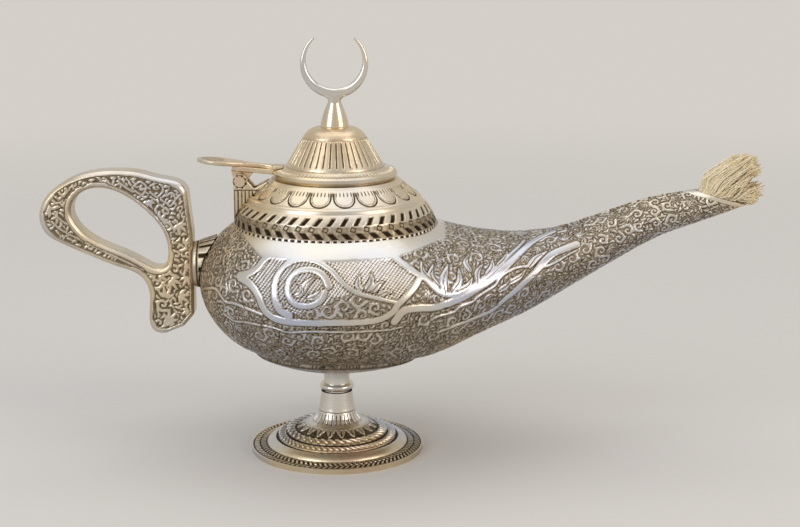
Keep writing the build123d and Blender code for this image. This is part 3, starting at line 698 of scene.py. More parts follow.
def place_motif(wall, i, j, kind, size):
    """Engraves one motif, turned at random, at a point of a wall's grid."""
    normal, angle = wall.normal[i, j], rng.uniform(0, 2 * math.pi)
    east = np.cross(np.array([0.0, 0.0, 1.0]), normal)
    east /= np.linalg.norm(east) + 1e-9
    north = np.cross(normal, east)
    across = east * math.cos(angle) + north * math.sin(angle)
    up = north * math.cos(angle) - east * math.sin(angle)
    for field, spots, halves in motif(kind, wall.skin[i, j], across, up, size):
        for target in walls:
            target.splat(getattr(target, field), spots, halves)


def free_places(wall, room, count):
    """Grid places in random order where the ground is free for ornament."""
    free = (wall.raised > room) & (wall.skin[..., 2] > 38.5) & (wall.skin[..., 1] < -0.8)
    free &= ~hatch_mask(wall) & ~plain_mask(wall)
    i, j = np.nonzero(free)
    weight = wall.row_step[i, j] * wall.col_step[i, j]
    order = rng.choice(len(i), size=min(len(i), count), replace=False, p=weight / weight.sum())
    return zip(i[order], j[order])


NARROW_FROM = 110  # motifs are smaller on the spout's narrow end


def scatter_motifs():
    """Scrolls, leaves and rosettes wherever the ribbons leave room, then short leaves between them."""
    for wall in (spout_wall, bowl_wall):
        taken = np.empty((0, 3))
        for i, j in free_places(wall, 1.5, 14000):
            p = wall.skin[i, j]
            size = 2.3 if p[0] > NARROW_FROM else 2.8
            if len(taken) and np.min(np.sum((taken - p) ** 2, axis=1)) < (2.05 * size) ** 2:
                continue
            taken = np.vstack([taken, p])
            kind = ("scroll", "scroll", "scroll", "leaf", "rosette")[int(rng.integers(5))]
            place_motif(wall, i, j, kind, size * rng.uniform(0.85, 1.1) * (0.62 if kind == "rosette" else 1))
        for room, size, count in ((1.15, 1.25, 9000), (0.75, 0.75, 16000)):
            for i, j in free_places(wall, room, count):
                if wall.raised[i, j] > room:
                    place_motif(wall, i, j, "filler", size)


def in_outline(u, v, corners):
    """Whether places fall inside a closed outline."""
    inside = np.zeros(u.shape, bool)
    for (x1, y1), (x2, y2) in zip(corners, corners[1:] + corners[:1]):
        crosses = (y1 > v) != (y2 > v)
        inside ^= crosses & (u < (x2 - x1) * (v - y1) / (y2 - y1 + 1e-12) + x1)
    return inside


# The ground round the great scroll, in the frame's places
HATCHED = [(250, 262), (262, 256), (300, 251), (360, 251), (386, 254), (400, 263), (421, 276), (418, 284),
           (404, 299), (384, 299), (352, 296), (334, 300), (322, 310), (300, 315), (284, 316), (270, 312),
           (258, 292), (247, 277)]


def hatch_mask(wall):
    """The hatched ground, on the near face only."""
    return in_outline(wall.u, wall.v, HATCHED) & (wall.skin[..., 1] < -25)


def plain_mask(wall):
    """The plain polished ring under the shoulder band, the lip of the mouth and the foot's seat."""
    x, z = wall.skin[..., 0], wall.skin[..., 2]
    ring = (z > 92.3 + 3.2 * smooth_step(x, 20, CUT_X)) & (x < CUT_X) & (x > -37 + 1.6 * (SEAT - z))
    lip = (x > 140) & (z > mouth_height(x) - 1.6)
    return ring | lip | (z < BOWL_BASE + 0.4)


GROUND, CUT = 0.6, 0.25  # depth of the ground and of a fine groove
# The saucer under the bowl: its crease and the step round it, and its ring of scallops
SAUCER_R, SAUCER_STEP = 35.0, 1.2
SCALLOPS, SCALLOP_AT, SCALLOP_R = 14, 27.0, 5.6
scatter_motifs()


def wall_relief(wall):
    """How far each point is cut back, how much of a recess it is and how much of it is hatched."""
    band = 1 - smooth_step(wall.ribbon, -0.34, 0.3)
    up = np.maximum(band, 0.74 * (1 - smooth_step(wall.raised, -0.4, 0.34)))
    ground = smooth_step(wall.raised, -0.1, 0.17)
    plain = plain_mask(wall).astype(float)
    for axis in (0, 1):
        plain = (np.roll(plain, 1, axis) + plain * 2 + np.roll(plain, -1, axis)) / 4
    up, ground, band = np.maximum(up, plain), ground * (1 - plain), np.maximum(band, plain)
    # the saucer: smooth, with a crease and a ring of scallops, and a step round it
    x, y, z = np.moveaxis(wall.skin, -1, 0)
    r, below = np.hypot(x, y), z < 52
    crease = np.abs(r - SAUCER_R) - 0.3
    arch = np.abs(np.hypot(off_middle(np.arctan2(y, x), SCALLOPS, 31), r - SCALLOP_AT) - SCALLOP_R) - 0.1
    hollow = np.minimum(crease, np.where(r > SCALLOP_AT, arch, FAR))
    hollow = np.where(below & (r < SAUCER_R + 0.9), hollow, FAR)
    saucer = below & (r < SAUCER_R + 0.4)
    up, ground, band = np.where(saucer, 1.0, up), np.where(saucer, 0.0, ground), np.where(saucer, 1.0, band)
    step = SAUCER_STEP * (1 - smooth_step(r, SAUCER_R + 1, SAUCER_R + 11))
    step *= smooth_step(r, SAUCER_R, SAUCER_R + 0.8) * (z < 60)
    groove = 1 - smooth_step(np.minimum(wall.groove, hollow), -0.05, 0.28)
    hatch = hatch_mask(wall) * ground
    hatched = hatch > 0.5
    shade = 0.25 + 0.75 * np.exp(-((np.clip(wall.raised, 0, FAR) / 0.46) ** 2))
    depth = GROUND * (1 - up) * np.where(hatched, 0.75, 1.0) + CUT * groove + step
    recess = ground * shade * np.where(hatched, 0.85, 1.0) + 0.8 * groove * (1 - ground)
    recess = np.clip(recess + 0.2 * (1 - ground) * (1 - band), 0, 1)
    # a dark line follows both edges of every band
    recess = np.maximum(recess, 0.85 * np.exp(-(((wall.ribbon - 0.24) / 0.28) ** 2)) * (1 - plain))
    depth[:, :2] *= 0.3
    depth[:, -2:] *= 0.3
    return depth, recess, hatch


def wall_piece(name, wall, side, node, **ends):
    """The closed mesh of one stretch of one half: skin, edge, lining and the seam between the halves."""
    depth, recess, hatch = wall_relief(wall)
    skin = wall.skin - wall.normal * depth[..., None]
    skin[..., 1] = np.minimum(skin[..., 1], 0)
    skin[:, 0, 1] = 0
    edge, inner = skin[:, -1], wall.lining[:, -1]
    corner = np.stack([edge[:, 0], inner[:, 1], np.minimum(edge[:, 2], np.where(wall.xs < 100, SEAT, 999))], 1)
    corner[:, 2] = np.where(inner[:, 1] < -0.01, inner[:, 2], np.maximum(corner[:, 2], inner[:, 2]))
    loop = np.concatenate([skin, corner[:, None], wall.lining[:, ::-1]], axis=1)
    # the lining is dark; the graver lines run two ways across the photograph's frame
    layers = {key: np.zeros(loop.shape[:2]) for key in ("recess", "hatch", "hatch_a", "hatch_b")}
    layers["recess"][:] = 0.9
    for key, values in (("recess", recess), ("hatch", hatch),
                        ("hatch_a", (wall.u * 0.80 + wall.v * 0.60) * 0.38),
                        ("hatch_b", (wall.u * 0.35 - wall.v * 0.94) * 0.38)):
        layers[key][:, :skin.shape[1]] = values
    new_piece(name, loop.reshape(-1, 3) * np.array([1.0, side, 1.0]),
              tube_faces(*loop.shape[:2], flip=side < 0, **ends), engraved_silver, "lamp", node, layers, weld=True)


for side, word in ((1, "near"), (-1, "far")):
    wall_piece(f"bowl_{word}_engraved", bowl_wall, side, f"bowl_{word}_half", back=False)
    wall_piece(f"spout_{word}_engraved", spout_wall, side, f"bowl_{word}_half", front=False)


# -------------------------------------------------------------- turned pieces
# Where the turned pieces meet, and the bores through them
FOOT_TOP, STEM_TOP, BAND_TOP, BAND_TOP_R = 11.5, 25.3, 108.1, 36.5
COLLAR_TOP, FILLER_R, LID_TOP, CONE_TOP = 117.3, 22.6, 138.6, 148.5
SCREW_BORE, STUD_BORE = 2.6, 1.55
# Repeats round each ring of ornament
LOTUS_LEAVES, FOOT_NOTCHES, STEM_TICKS, BAND_TONGUES = 20, 96, 30, 46
COLLAR_PETALS, COLLAR_TICKS, LID_FLUTES, LID_TEETH = 20, 120, 42, 84


def foot_relief(a, r, z):
    """Lotus leaves by the stem, then a smooth step and the notched border."""
    top = z > np.where(r < 30, 9.4 - (r - 13.2) * 0.47, 1.6)
    x = off_middle(a, LOTUS_LEAVES, r)
    half = 2.35 * np.sqrt(np.clip((17.4 - r) / 3.8, 0, 1)) * 0.98
    between = 0.75 * smooth_step(x, half + 0.1, half + 0.5)
    vein = line_at(x, 0.12, 0.34) * (r < 16.6)
    ribs = 0.36 * (1 - bar((r + x * 0.9) / 1.1, 0.3, 0.15)) * (x < half)
    leaves = band_of(r, 13.5, 17.3, 0.15) * np.maximum.reduce([line_at(x - half, 0.15, 0.42), between, vein, ribs])
    notches = band_of(r, 33.3, 35.5, 0.15) * (1 - bar(ring_wave(a, FOOT_NOTCHES, 0.33 * (r - 34)), 0.24, 0.1))
    dots = band_of(r, 30.7, 32.7, 0.15) * (
        1 - bar(ring_wave(a, FOOT_NOTCHES, 0.5 - 0.2 * (r - 31)), 0.26, 0.12))
    lines = [line_at(r - at, 0.14, 0.38) for at in (30.3, 33.0, 35.8)]
    grooves = [line_at(r - at, 0.25, 0.7) * (r < 28) for at in (17.75, 21.6, 25.6)]
    cut = np.maximum.reduce([leaves, notches, dots] + lines + grooves) * top
    return 0.55 * cut, cut


def stem_relief(a, r, z):
    """Upright ticks round the foot of the stem, under one fine line."""
    ticks = band_of(z, 12.4, 16.2, 0.2) * line_at(off_middle(a, STEM_TICKS, r), 0.1, 0.32)
    cut = np.maximum(ticks, 0.6 * line_at(z - 17.0, 0.05, 0.3)) * (r > 6.8)
    return 0.3 * cut, 0.8 * cut


def band_relief(a, r, z):
    """The shoulder band: slanted tongues, a row of small squares, slanted bars and a toothed edge."""
    t = np.clip((BAND_TOP - z) / 10.2, 0, 1)
    place = a * BAND_TONGUES / (2 * math.pi)
    tongues = band_of(t, 0.1, 0.37, 0.03) * bar(place + 1.5 * (t - 0.2), 0.19, 0.1)
    x, y = (np.mod(place + 0.45, 1) - 0.5) * 5.4, (t - 0.5) * 11.8
    square = np.maximum(np.abs(x * 0.9 + y * 0.3), np.abs(y * 0.95 - x * 0.3))
    squares = 0.9 * line_at(square - 0.85, 0.1, 0.32)
    bars = band_of(t, 0.62, 0.86, 0.03) * bar(place - 1.7 * (t - 0.7), 0.27, 0.09)
    teeth = band_of(t, 0.9, 0.99, 0.02) * bar(place * 2, 0.26, 0.12)
    ground = 0.38 * band_of(t, 0.4, 0.9, 0.04)
    cut = np.maximum.reduce([tongues, squares, bars, teeth, ground]) * (r > 36.6)
    return 0.5 * cut, cut


def collar_relief(a, r, z):
    """The collar: a ring of round petals, drawn in a fine line, that hang from the polished lip."""
    t = np.clip((r - 27.4) / 8.6, 0, 1)
    x, y = off_middle(a, COLLAR_PETALS, 33), (t - 0.32) * 10.2
    side = np.where(y > 0, np.hypot(x, y * 0.98), x)
    petals = np.maximum(line_at(side - 4.55, 0.12, 0.42), 0.35 * line_at(side - 3.7, 0.05, 0.4))
    ticks = 0.7 * band_of(t, 0.08, 0.27, 0.04) * (1 - bar(ring_wave(a, COLLAR_TICKS), 0.36, 0.1))
    cut = np.maximum(petals * band_of(t, 0.1, 0.9, 0.02), ticks) * (z > 109.2)
    return 0.4 * cut, cut


def lid_relief(a, r, z):
    """The lid: tapering flutes down the cone and a milled edge on the flange."""
    t = np.clip((134.1 - z) / 11.3, 0, 1)
    flutes = smooth_step(np.abs(ring_wave(a, LID_FLUTES) - 0.5) * 2, 0.55, 1.0) ** 1.3
    flutes *= band_of(t, 0.03, 0.9, 0.04) * (z > 122.6)
    rings = line_at(z - 134.3, 0.15, 0.4) + line_at(z - 122.5, 0.15, 0.4) * (r < 22)
    mill = band_of(r, 22.4, 24.6, 0.2) * (1 - bar(ring_wave(a, LID_TEETH), 0.3, 0.12))
    cut = np.maximum.reduce([flutes, np.clip(rings, 0, 1) * 0.45, 0.6 * mill]) * ((r >= 12) & (z >= 120.2))
    return 0.6 * cut, 0.62 * cut


turned("foot_engraved", profile((36.7, 0), (36.7, 2.2), (30.0, 3.2), (26.6, 5.4, 0.4), (25.6, 5.4), (21.6, 7.3),
                                (17.6, 9.2), (13.2, FOOT_TOP)),
       [(SCREW_BORE, FOOT_TOP), (SCREW_BORE, 8.9), (13.2, 8.9), (17.6, 7.0), (26.6, 3.2), (30.0, 1.0), (33.5, 0)],
       704, cast_silver, "lamp", "foot_base", foot_relief)
turned("stem_polished", [(12.0, FOOT_TOP), (9.9, 12.9), (8.7, 14.4), (7.9, 16.2), (7.35, 18.6), (6.95, 21.4),
                         (6.6, STEM_TOP)],
       [(SCREW_BORE, STEM_TOP), (SCREW_BORE, FOOT_TOP)], 360, polished_silver, "lamp", "foot_stem", stem_relief)
turned("neck_polished", profile((6.6, STEM_TOP), (5.9, STEM_TOP), (5.9, 26.1), (6.5, 26.1), (6.5, 28.9, 0.8),
                                (5.5, 28.9), (6.6, BOWL_BASE, -0.5)),
       [(SCREW_BORE, BOWL_BASE), (SCREW_BORE, STEM_TOP)], 96, polished_silver, "lamp", "stem_collar")
turned("shoulder_band_engraved", profile((LINING_R, SEAT), (SEAT_R, SEAT), (BAND_TOP_R, BAND_TOP, 0.9)),
       [(33.1, BAND_TOP)],
       1380, cast_silver, "lamp", "shoulder_band", band_relief)
turned("collar_engraved", profile((33.1, BAND_TOP), (BAND_TOP_R, BAND_TOP), (34.3, 110.5, 0.5), (27.3, 116.3),
                                  (26.3, COLLAR_TOP), (FILLER_R, COLLAR_TOP)),
       [(FILLER_R, 113.9), (24.9, 113.9)],
       1104, cast_silver, "lamp", "collar_ring", collar_relief)
turned("lid_engraved", profile((24.6, 117.4), (25.8, 118.9), (25.8, 120.05), (24.95, 120.9), (20.2, 122.8, -0.6),
                               (13.3, 134.1), (6.2, LID_TOP, 1.2), (STUD_BORE, LID_TOP)),
       [(STUD_BORE, 136.9), (6.2, 136.9), (11.6, 134.1), (18.5, 121.1), (20.4, 117.4)],
       640, cast_silver, "lid", "lid_shell", lid_relief)
turned("finial_polished", profile((5.9, LID_TOP), (5.9, 139.05), (2.8, CONE_TOP, 0.35)),
       [(STUD_BORE, CONE_TOP), (STUD_BORE, LID_TOP)], 96, polished_silver, "lid", "finial_cone")


# --------------------------------------------------------------------- handle
def cast_copy(name, voxel, rounds):
    """The plain shape of a CAD piece, evenly remeshed, with the softened edges of a casting:
    points in millimetres, faces and normals."""
    plain = nodes[name]
    copy = in_scene(name + "_plain", plain.data.copy())
    copy.matrix_world = plain.matrix_world.copy()
    even = copy.modifiers.new("even", "REMESH")
    even.mode, even.voxel_size = "VOXEL", voxel * MM
    soft = copy.modifiers.new("soft", "SMOOTH")
    soft.factor, soft.iterations = 0.5, rounds
    mesh = evaluated(copy)
    turn = copy.matrix_world.copy()
    bpy.data.objects.remove(copy)
    points = np.array([turn @ v.co for v in mesh.vertices]) * 1000
    normal = np.array([(turn.to_3x3() @ v.normal).normalized() for v in mesh.vertices])
    faces = [list(p.vertices) for p in mesh.polygons]
    bpy.data.meshes.remove(mesh)
    return points, faces, normal


def handle_rim(points):
    """How far points are inside the handle's outline, seen from the side."""
    plain = nodes["handle"]
    corners = np.array([plain.matrix_world @ v.co for v in plain.data.vertices]) * 1000
    ends = corners[np.array([e.vertices[:] for e in plain.data.edges])]
    ends = ends[np.all(np.abs(ends[:, :, 1]) < 5.5, axis=1)]
    rim = np.vstack([ends[:, 0] * (1 - t) + ends[:, 1] * t for t in np.linspace(0, 1, 7)])
    nearest = KDTree(len(rim))
    for k, (x, _, z) in enumerate(rim):
        nearest.insert((x, 0, z), k)
    nearest.balance()
    return np.array([nearest.find((x, 0, z))[2] for x, _, z in points])


def handle_place(u, v):
    """Where a place of the frame falls on the handle's near face."""
    way = sight_line(u, v)
    hit = CAMERA_AT + way * (-6.0 - CAMERA_AT[1]) / way[1]
    return hit[0], hit[2]


def flat_motif(kind, centre, angle, size):
    """Flat strokes of one small scroll, leaf group or rosette: (places, half widths)."""
    c, s = math.cos(angle), math.sin(angle)
    turn = np.array([[c, s], [-s, c]])
    for _, flat, halves in motif_strokes(kind, size):
        yield np.array(centre) + flat @ turn, halves


# Strokes of the handle, followed in the photograph: scallops, ticks and scrolls
HANDLE_LINES = [
    [(62, 206), (68, 199), (76, 192), (85, 187), (96, 183), (108, 181)],
    [(66, 200), (64, 207), (71, 212)], [(70, 196), (69, 203), (75, 206)], [(74, 192), (75, 199), (80, 201)],
    [(78, 187), (83, 193), (91, 190), (90, 184)], [(92, 184), (97, 189), (104, 186), (103, 181)],
    [(106, 180), (112, 186), (120, 184), (126, 188), (133, 192)],
    [(150, 186), (158, 183), (163, 190), (157, 197), (150, 192)],
    [(134, 186), (140, 182), (146, 187), (142, 195), (135, 191)],
    [(166, 196), (172, 193), (175, 200), (170, 206), (165, 202)],
    [(170, 186), (177, 186), (181, 193), (176, 199)], [(179, 204), (184, 201), (187, 208), (182, 214)],
    [(52, 222), (58, 228), (66, 233), (76, 238), (88, 244), (101, 250), (115, 257), (130, 264), (143, 271)],
    [(56, 216), (63, 222), (72, 228), (78, 234)], [(60, 213), (67, 219), (75, 223)],
]

TRIES = 5000  # places on the handle tried for a motif


def engraved_handle():
    """Engraves both faces of the handle and lets them darken in the cuts."""
    points, faces, normal = cast_copy("handle", 0.42, 5)
    inset = handle_rim(points)
    face = np.nonzero((np.abs(normal[:, 1]) > 0.8) & (inset > 0.8))[0]
    flat, room = points[face][:, [0, 2]], inset[face]
    gap = np.full(len(face), FAR)

    def draw(places, halves):
        for place, half in zip(places, np.broadcast_to(halves, len(places))):
            np.minimum(gap, np.hypot(flat[:, 0] - place[0], flat[:, 1] - place[1]) - half, out=gap)

    taken = []
    for line in HANDLE_LINES:
        places = curve_through([handle_place(u, v) for u, v in line], 0.3)[0]
        draw(places, 0.34)
        taken += list(places[::8])
    front = np.nonzero((normal[face, 1] < -0.9) & (room > 2.6))[0]
    for k in rng.permutation(front)[:TRIES]:
        size = min(2.7, 0.75 * room[k])
        if gap[k] < 1.2 or min(np.sum((np.array(taken) - flat[k]) ** 2, axis=1)) < (1.9 * size) ** 2:
            continue
        taken.append(flat[k])
        kind = ("scroll", "scroll", "leaf")[int(rng.integers(3))]
        for places, halves in flat_motif(kind, flat[k], rng.uniform(0, 2 * math.pi), size):
            draw(places, halves)
    for reach, size in ((1.1, 1.2), (0.75, 0.75)):
        for k in rng.permutation(front)[:TRIES]:
            if gap[k] > reach:
                for places, halves in flat_motif("filler", flat[k], rng.uniform(0, 2 * math.pi), size):
                    draw(places, halves)
    whole = np.full(len(points), FAR)
    whole[face] = gap
    level = smooth_step(np.abs(normal[:, 1]), 0.8, 0.97) * smooth_step(inset, 1.3, 1.8)
    border = line_at(inset - 1.9, 0.1, 0.36)
    inside = smooth_step(inset, 1.9, 2.3)
    cut = level * np.maximum(smooth_step(whole, -0.4, 0.34) * inside, border)
    ground = smooth_step(whole, -0.06, 0.3) * (0.5 + 0.5 * np.exp(-((np.clip(whole, 0, FAR) / 0.45) ** 2)))
    new_piece("handle_engraved", points - normal * (0.55 * cut)[:, None], faces, cast_silver, "lamp", "handle",
              {"recess": np.clip(level * np.maximum(ground * inside, border * 0.6), 0, 1)}, sharp=60)


engraved_handle()


# ------------------------------------------------------------ lever and hinge
PIN_X, PIN_Z = -39.2, 116.3
PAD_X, PAD_R, CHISEL = -50.5, 5.2, 1.9  # the lever's pad, and the pitch of its lines


def lever_marks(points, normal):
    """Crossing chisel lines on the lever's pad and a fine line along each edge of its neck."""
    x, y = points[:, 0], points[:, 1]
    top = normal[:, 2] > 0.7
    lines = np.minimum(np.abs(np.mod((x + y) / CHISEL, 1) - 0.5), np.abs(np.mod((x - y) / CHISEL, 1) - 0.5)) * CHISEL
    pad = smooth_step(-x, 44.5, 45.5) * (1 - smooth_step(np.hypot((x - PAD_X) / PAD_R, y / PAD_R), 0.85, 1.0))
    edge = line_at(np.abs(y) - 2.5, 0.1, 0.35) * (x > -43)
    return 0.7 * top * np.maximum(pad * line_at(lines, 0.08, 0.3), edge)


def bracket_marks(points, normal):
    """A ring of petals round the pin on both ears and grooves down the bracket below them."""
    x, z = points[:, 0] - PIN_X, points[:, 2] - PIN_Z
    r, a = np.hypot(x, z), np.arctan2(z, x)
    petals = line_at(r - 2.55, 0.05, 0.27) + (r < 3.2) * (r > 2.2) * bar(ring_wave(a, 8), 0.14)
    below = (z < -4.0) * bar(x / 1.5, 0.16)
    marks = np.maximum.reduce([petals, below, line_at(z + 3.7, 0.08, 0.33)])
    return 0.8 * np.clip((np.abs(normal[:, 1]) > 0.7) * marks, 0, 1)


def saddle_marks(points, normal):
    """Flutes round the brazed pad, from a fine ring beside the handle to the bowl."""
    x, y, z = points.T
    from_handle = x - x.min()
    flutes = bar(ring_wave(np.arctan2(z - z.mean(), 2.2 * y), 22), 0.17) * (from_handle > 2.6)
    return (np.hypot(normal[:, 1], normal[:, 2]) > 0.5) * np.maximum(flutes, line_at(from_handle - 1.9, 0.12, 0.42))


for name, voxel, rounds, marks, body, metal in (
        ("thumb_lever", 0.24, 4, lever_marks, "lid", cast_silver),
        ("hinge_leaf", 0.24, 3, None, "lid", cast_silver),
        ("hinge_bracket", 0.27, 3, bracket_marks, "lamp", cast_silver),
        ("handle_saddle", 0.42, 3, saddle_marks, "lamp", brazed_joint)):
    points, faces, normal = cast_copy(name, voxel, rounds)
    cut = marks(points, normal) if marks else np.zeros(len(points))
    new_piece(name + "_cast", points - normal * (0.3 * cut)[:, None], faces, metal, body, name,
              {"recess": cut}, sharp=60)


# ------------------------------------------------------------------- crescent
# The outer circle, and the inner one, whose middle lies a little higher
CRESCENT_Z, OUTER_R, INNER_R, INNER_UP = 164.2, 14.0, 11.6, 1.8


def crescent_horns():
    """Two horns that taper from the thick foot of the crescent to rounded tips."""
    reach = math.radians(143)
    turns = np.linspace(-reach, reach, 121)
    ring = np.linspace(0, 2 * math.pi, 28, endpoint=False)
    c, s = (np.sign(wave) * np.abs(wave) ** 0.85 for wave in (np.cos(ring), np.sin(ring)))
    rows = []
    for turn in turns:
        way = np.array([math.sin(turn), -math.cos(turn)])
        inner = INNER_UP * way[1] + math.sqrt(INNER_R**2 - (INNER_UP * way[0]) ** 2)
        half = (OUTER_R - inner) / 2
        deep = min(2.0, 0.55 + half * 0.75) * (1 - 0.35 * smooth_step(abs(turn), 1.6, 2.5))
        end = math.sqrt(max(0.0, 1 - max(0.0, (abs(turn) - (reach - 0.05)) / 0.05) ** 2))
        radius = (OUTER_R + inner) / 2 + c * half * end
        rows.append(np.stack([radius * way[0], s * deep * end, CRESCENT_Z + radius * way[1]], axis=1))
    new_piece("crescent_horns", np.vstack(rows), tube_faces(len(turns), len(ring)), polished_silver,
              "lid", "crescent", weld=True)


def crescent_foot():
    """The crescent's foot: round on the finial cone, widening into the horns."""
    ring = np.linspace(0, 2 * math.pi, 40, endpoint=False)
    rows = [np.stack([wide * np.cos(ring), deep * np.sin(ring), np.full(40, height)], axis=1)
            for height, wide, deep in ((CONE_TOP, 2.8, 2.0), (149.0, 2.7, 2.0), (149.6, 2.75, 1.95), (150.2, 3.2, 1.95),
                                       (150.8, 4.2, 1.95), (151.3, 5.2, 1.9), (151.9, 5.3, 1.6))]
    new_piece("crescent_foot", np.vstack(rows), tube_faces(len(rows), 40), polished_silver, "lid", "crescent")


crescent_horns()
crescent_foot()


# ----------------------------------------------------------- pieces on a rule
def group_socket(group, name, kind, value=None):
    """A named input of a geometry group."""
    socket = group.interface.new_socket(name=name, in_out="INPUT", socket_type=kind)
    if value is not None:
        socket.default_value = value
    return socket.identifier


def grown(name, base, group, settings, body, node, material):
    """Runs a geometry group on a base mesh and keeps the result as a plain mesh piece."""
    seed = in_scene(name + "_base", base)
    modifier = seed.modifiers.new("rule", "NODES")
    modifier.node_group = group
    for identifier, value in settings.items():
        modifier[identifier] = value
    mesh = evaluated(seed)
    bpy.data.objects.remove(seed)
    mesh.name = name
    take_place(in_scene(name, mesh), body, node, material)


def rope_ring_rule():
    """Copies of one twist, evenly round a circle, each turned with its place."""
    group = bpy.data.node_groups.new("rope_ring", "GeometryNodeTree")
    group_socket(group, "Twist", "NodeSocketGeometry")
    ids = {"count": group_socket(group, "Twists", "NodeSocketInt", 60),
           "radius": group_socket(group, "Ring radius", "NodeSocketFloat", 0.0236),
           "height": group_socket(group, "Height", "NodeSocketFloat", 0.0063),
           "material": group_socket(group, "Plate", "NodeSocketMaterial")}
    group.interface.new_socket(name="Ring", in_out="OUTPUT", socket_type="NodeSocketGeometry")
    given = add_node(group, "NodeGroupInput")
    circle = add_node(group, "GeometryNodeMeshCircle", links={
        "Vertices": given.outputs["Twists"], "Radius": given.outputs["Ring radius"]})
    lifted = add_node(group, "ShaderNodeCombineXYZ", links={"Z": given.outputs["Height"]})
    raised = add_node(group, "GeometryNodeTransform", links={
        "Geometry": circle.outputs["Mesh"], "Translation": lifted.outputs["Vector"]})
    place = add_node(group, "GeometryNodeInputPosition")
    split = add_node(group, "ShaderNodeSeparateXYZ", links={"Vector": place.outputs["Position"]})
    angle = add_node(group, "ShaderNodeMath", {"operation": "ARCTAN2"}, {
        0: split.outputs["Y"], 1: split.outputs["X"]})
    turn = add_node(group, "ShaderNodeCombineXYZ", links={"Z": angle.outputs[0]})
    copies = add_node(group, "GeometryNodeInstanceOnPoints", links={
        "Points": raised.outputs["Geometry"], "Instance": given.outputs["Twist"],
        "Rotation": turn.outputs["Vector"]})
    real = add_node(group, "GeometryNodeRealizeInstances", links={"Geometry": copies.outputs["Instances"]})
    coated = add_node(group, "GeometryNodeSetMaterial", links={
        "Geometry": real.outputs["Geometry"], "Material": given.outputs["Plate"]})
    smooth = add_node(group, "GeometryNodeSetShadeSmooth", links={"Geometry": coated.outputs["Geometry"]})
    add_node(group, "NodeGroupOutput", links={"Ring": smooth.outputs["Geometry"]})
    return group, ids


def twist(length, half_width, half_height, lean):
    """One strand's turn on top of a rope ring: a bean that leans across the ring."""
    rows, cols = 9, 12
    t = np.linspace(0, math.pi, rows)
    ring = np.linspace(0, 2 * math.pi, cols, endpoint=False)
    a, b = np.meshgrid(t, ring, indexing="ij")
    along = -np.cos(a) * length / 2
    side = np.sin(a) ** 0.8 * np.cos(b) * half_width
    up = np.sin(a) ** 0.8 * np.sin(b) * half_height
    c, s = math.cos(lean), math.sin(lean)
    verts = np.stack([along * s + side * c, along * c - side * s, up], axis=-1).reshape(-1, 3)
    mesh = plain_mesh("twist", verts, grid_faces(rows, cols, wrap_cols=True))
    build = bmesh.new()
    build.from_mesh(mesh)
    bmesh.ops.remove_doubles(build, verts=build.verts, dist=1e-6)
    bmesh.ops.recalc_face_normals(build, faces=build.faces)
    build.to_mesh(mesh)
    build.free()
    return mesh


rope_rule, rope_ids = rope_ring_rule()
for word, count, radius, height, half in (("outer", 60, 23.6, 6.35, 1.05), ("inner", 38, 19.6, 8.25, 1.2)):
    one = twist(length=2 * math.pi * radius / count * 1.75, half_width=half * 0.62, half_height=half, lean=0.75)
    grown(f"rope_ring_{word}", one, rope_rule,
          {rope_ids["count"]: count, rope_ids["radius"]: radius * MM, rope_ids["height"]: height * MM,
           rope_ids["material"]: cast_silver}, "lamp", "foot_base", cast_silver)


# ----------------------------------------------------------------------- wick
def filleted(points, radii, step=1.0):
    """A polyline in the lamp's middle plane with its corners rounded, in even steps."""
    p = np.array(points, float)
    out = [p[0]]
    for k, radius in enumerate(radii, 1):
        back, on = p[k - 1] - p[k], p[k + 1] - p[k]
        back, on = back / np.linalg.norm(back), on / np.linalg.norm(on)
        half = math.acos(np.clip(-back @ on, -1, 1)) / 2
        cut = radius * math.tan(half)
        centre = p[k] + (back + on) / np.linalg.norm(back + on) * radius / math.cos(half)
        start, stop = p[k] + back * cut - centre, p[k] + on * cut - centre
        for t in np.linspace(0, 1, 24):
            arm = start * (1 - t) + stop * t
            out.append(centre + arm / np.linalg.norm(arm) * radius)
    out.append(p[-1])
    out = np.array(out)
    way = way_along(out)
    even = np.linspace(0, way[-1], int(way[-1] / step))
    return np.stack([np.interp(even, way, out[:, k]) for k in range(2)], axis=1), even


# Radius, depth of the groove between strands, length of one turn and number of strands
CORD_R, CORD_GROOVE, CORD_LAY, CORD_STRANDS = 3.8, 0.5, 18, 4


def wick_cord_piece():
    """The wick inside the spout: four strands laid up with one turn in 18 mm."""
    line, way = filleted([(148.0, 104.5), (92.0, 81.6), (51.0, 55.6), (20.0, 45.0)], (248.0, 125.1))
    ahead = np.gradient(line, axis=0)
    ahead /= np.linalg.norm(ahead, axis=1)[:, None]
    ring = np.linspace(0, 2 * math.pi, 48, endpoint=False)
    lay = (ring + way[:, None] * 2 * math.pi / CORD_LAY) * CORD_STRANDS
    groove = 1 - np.abs(np.cos(lay / 2)) ** 0.7
    radius = CORD_R - CORD_GROOVE * groove
    up = radius * np.sin(ring)
    verts = np.stack([line[:, :1] - ahead[:, 1:] * up, radius * np.cos(ring), line[:, 1:] + ahead[:, :1] * up], axis=-1)
    # painted shade in the grooves between the strands
    new_piece("wick_cord_spun", verts.reshape(-1, 3), tube_faces(len(line), 48), wick_cotton, "wick", "wick_cord",
              {"recess": groove * 0.7})


# Side view of the frayed end: where strands leave the mouth and where they end, from the back
# of the mouth to its tip. They end in an upper and a lower clump.
LEAVE_BACK, LEAVE_FRONT = np.array([152.0, 111.9]), np.array([170.2, 106.9])
CLUMP_WAY = (-1.0, -0.62, -0.3, -0.16, 0.12, 0.5, 0.8, 1.0)
CLUMP_X = (174.8, 177.4, 177.8, 171.0, 177.2, 174.6, 171.6, 165.6)
CLUMP_Z = (107.0, 109.8, 114.6, 115.6, 120.4, 125.6, 126.8, 123.8)


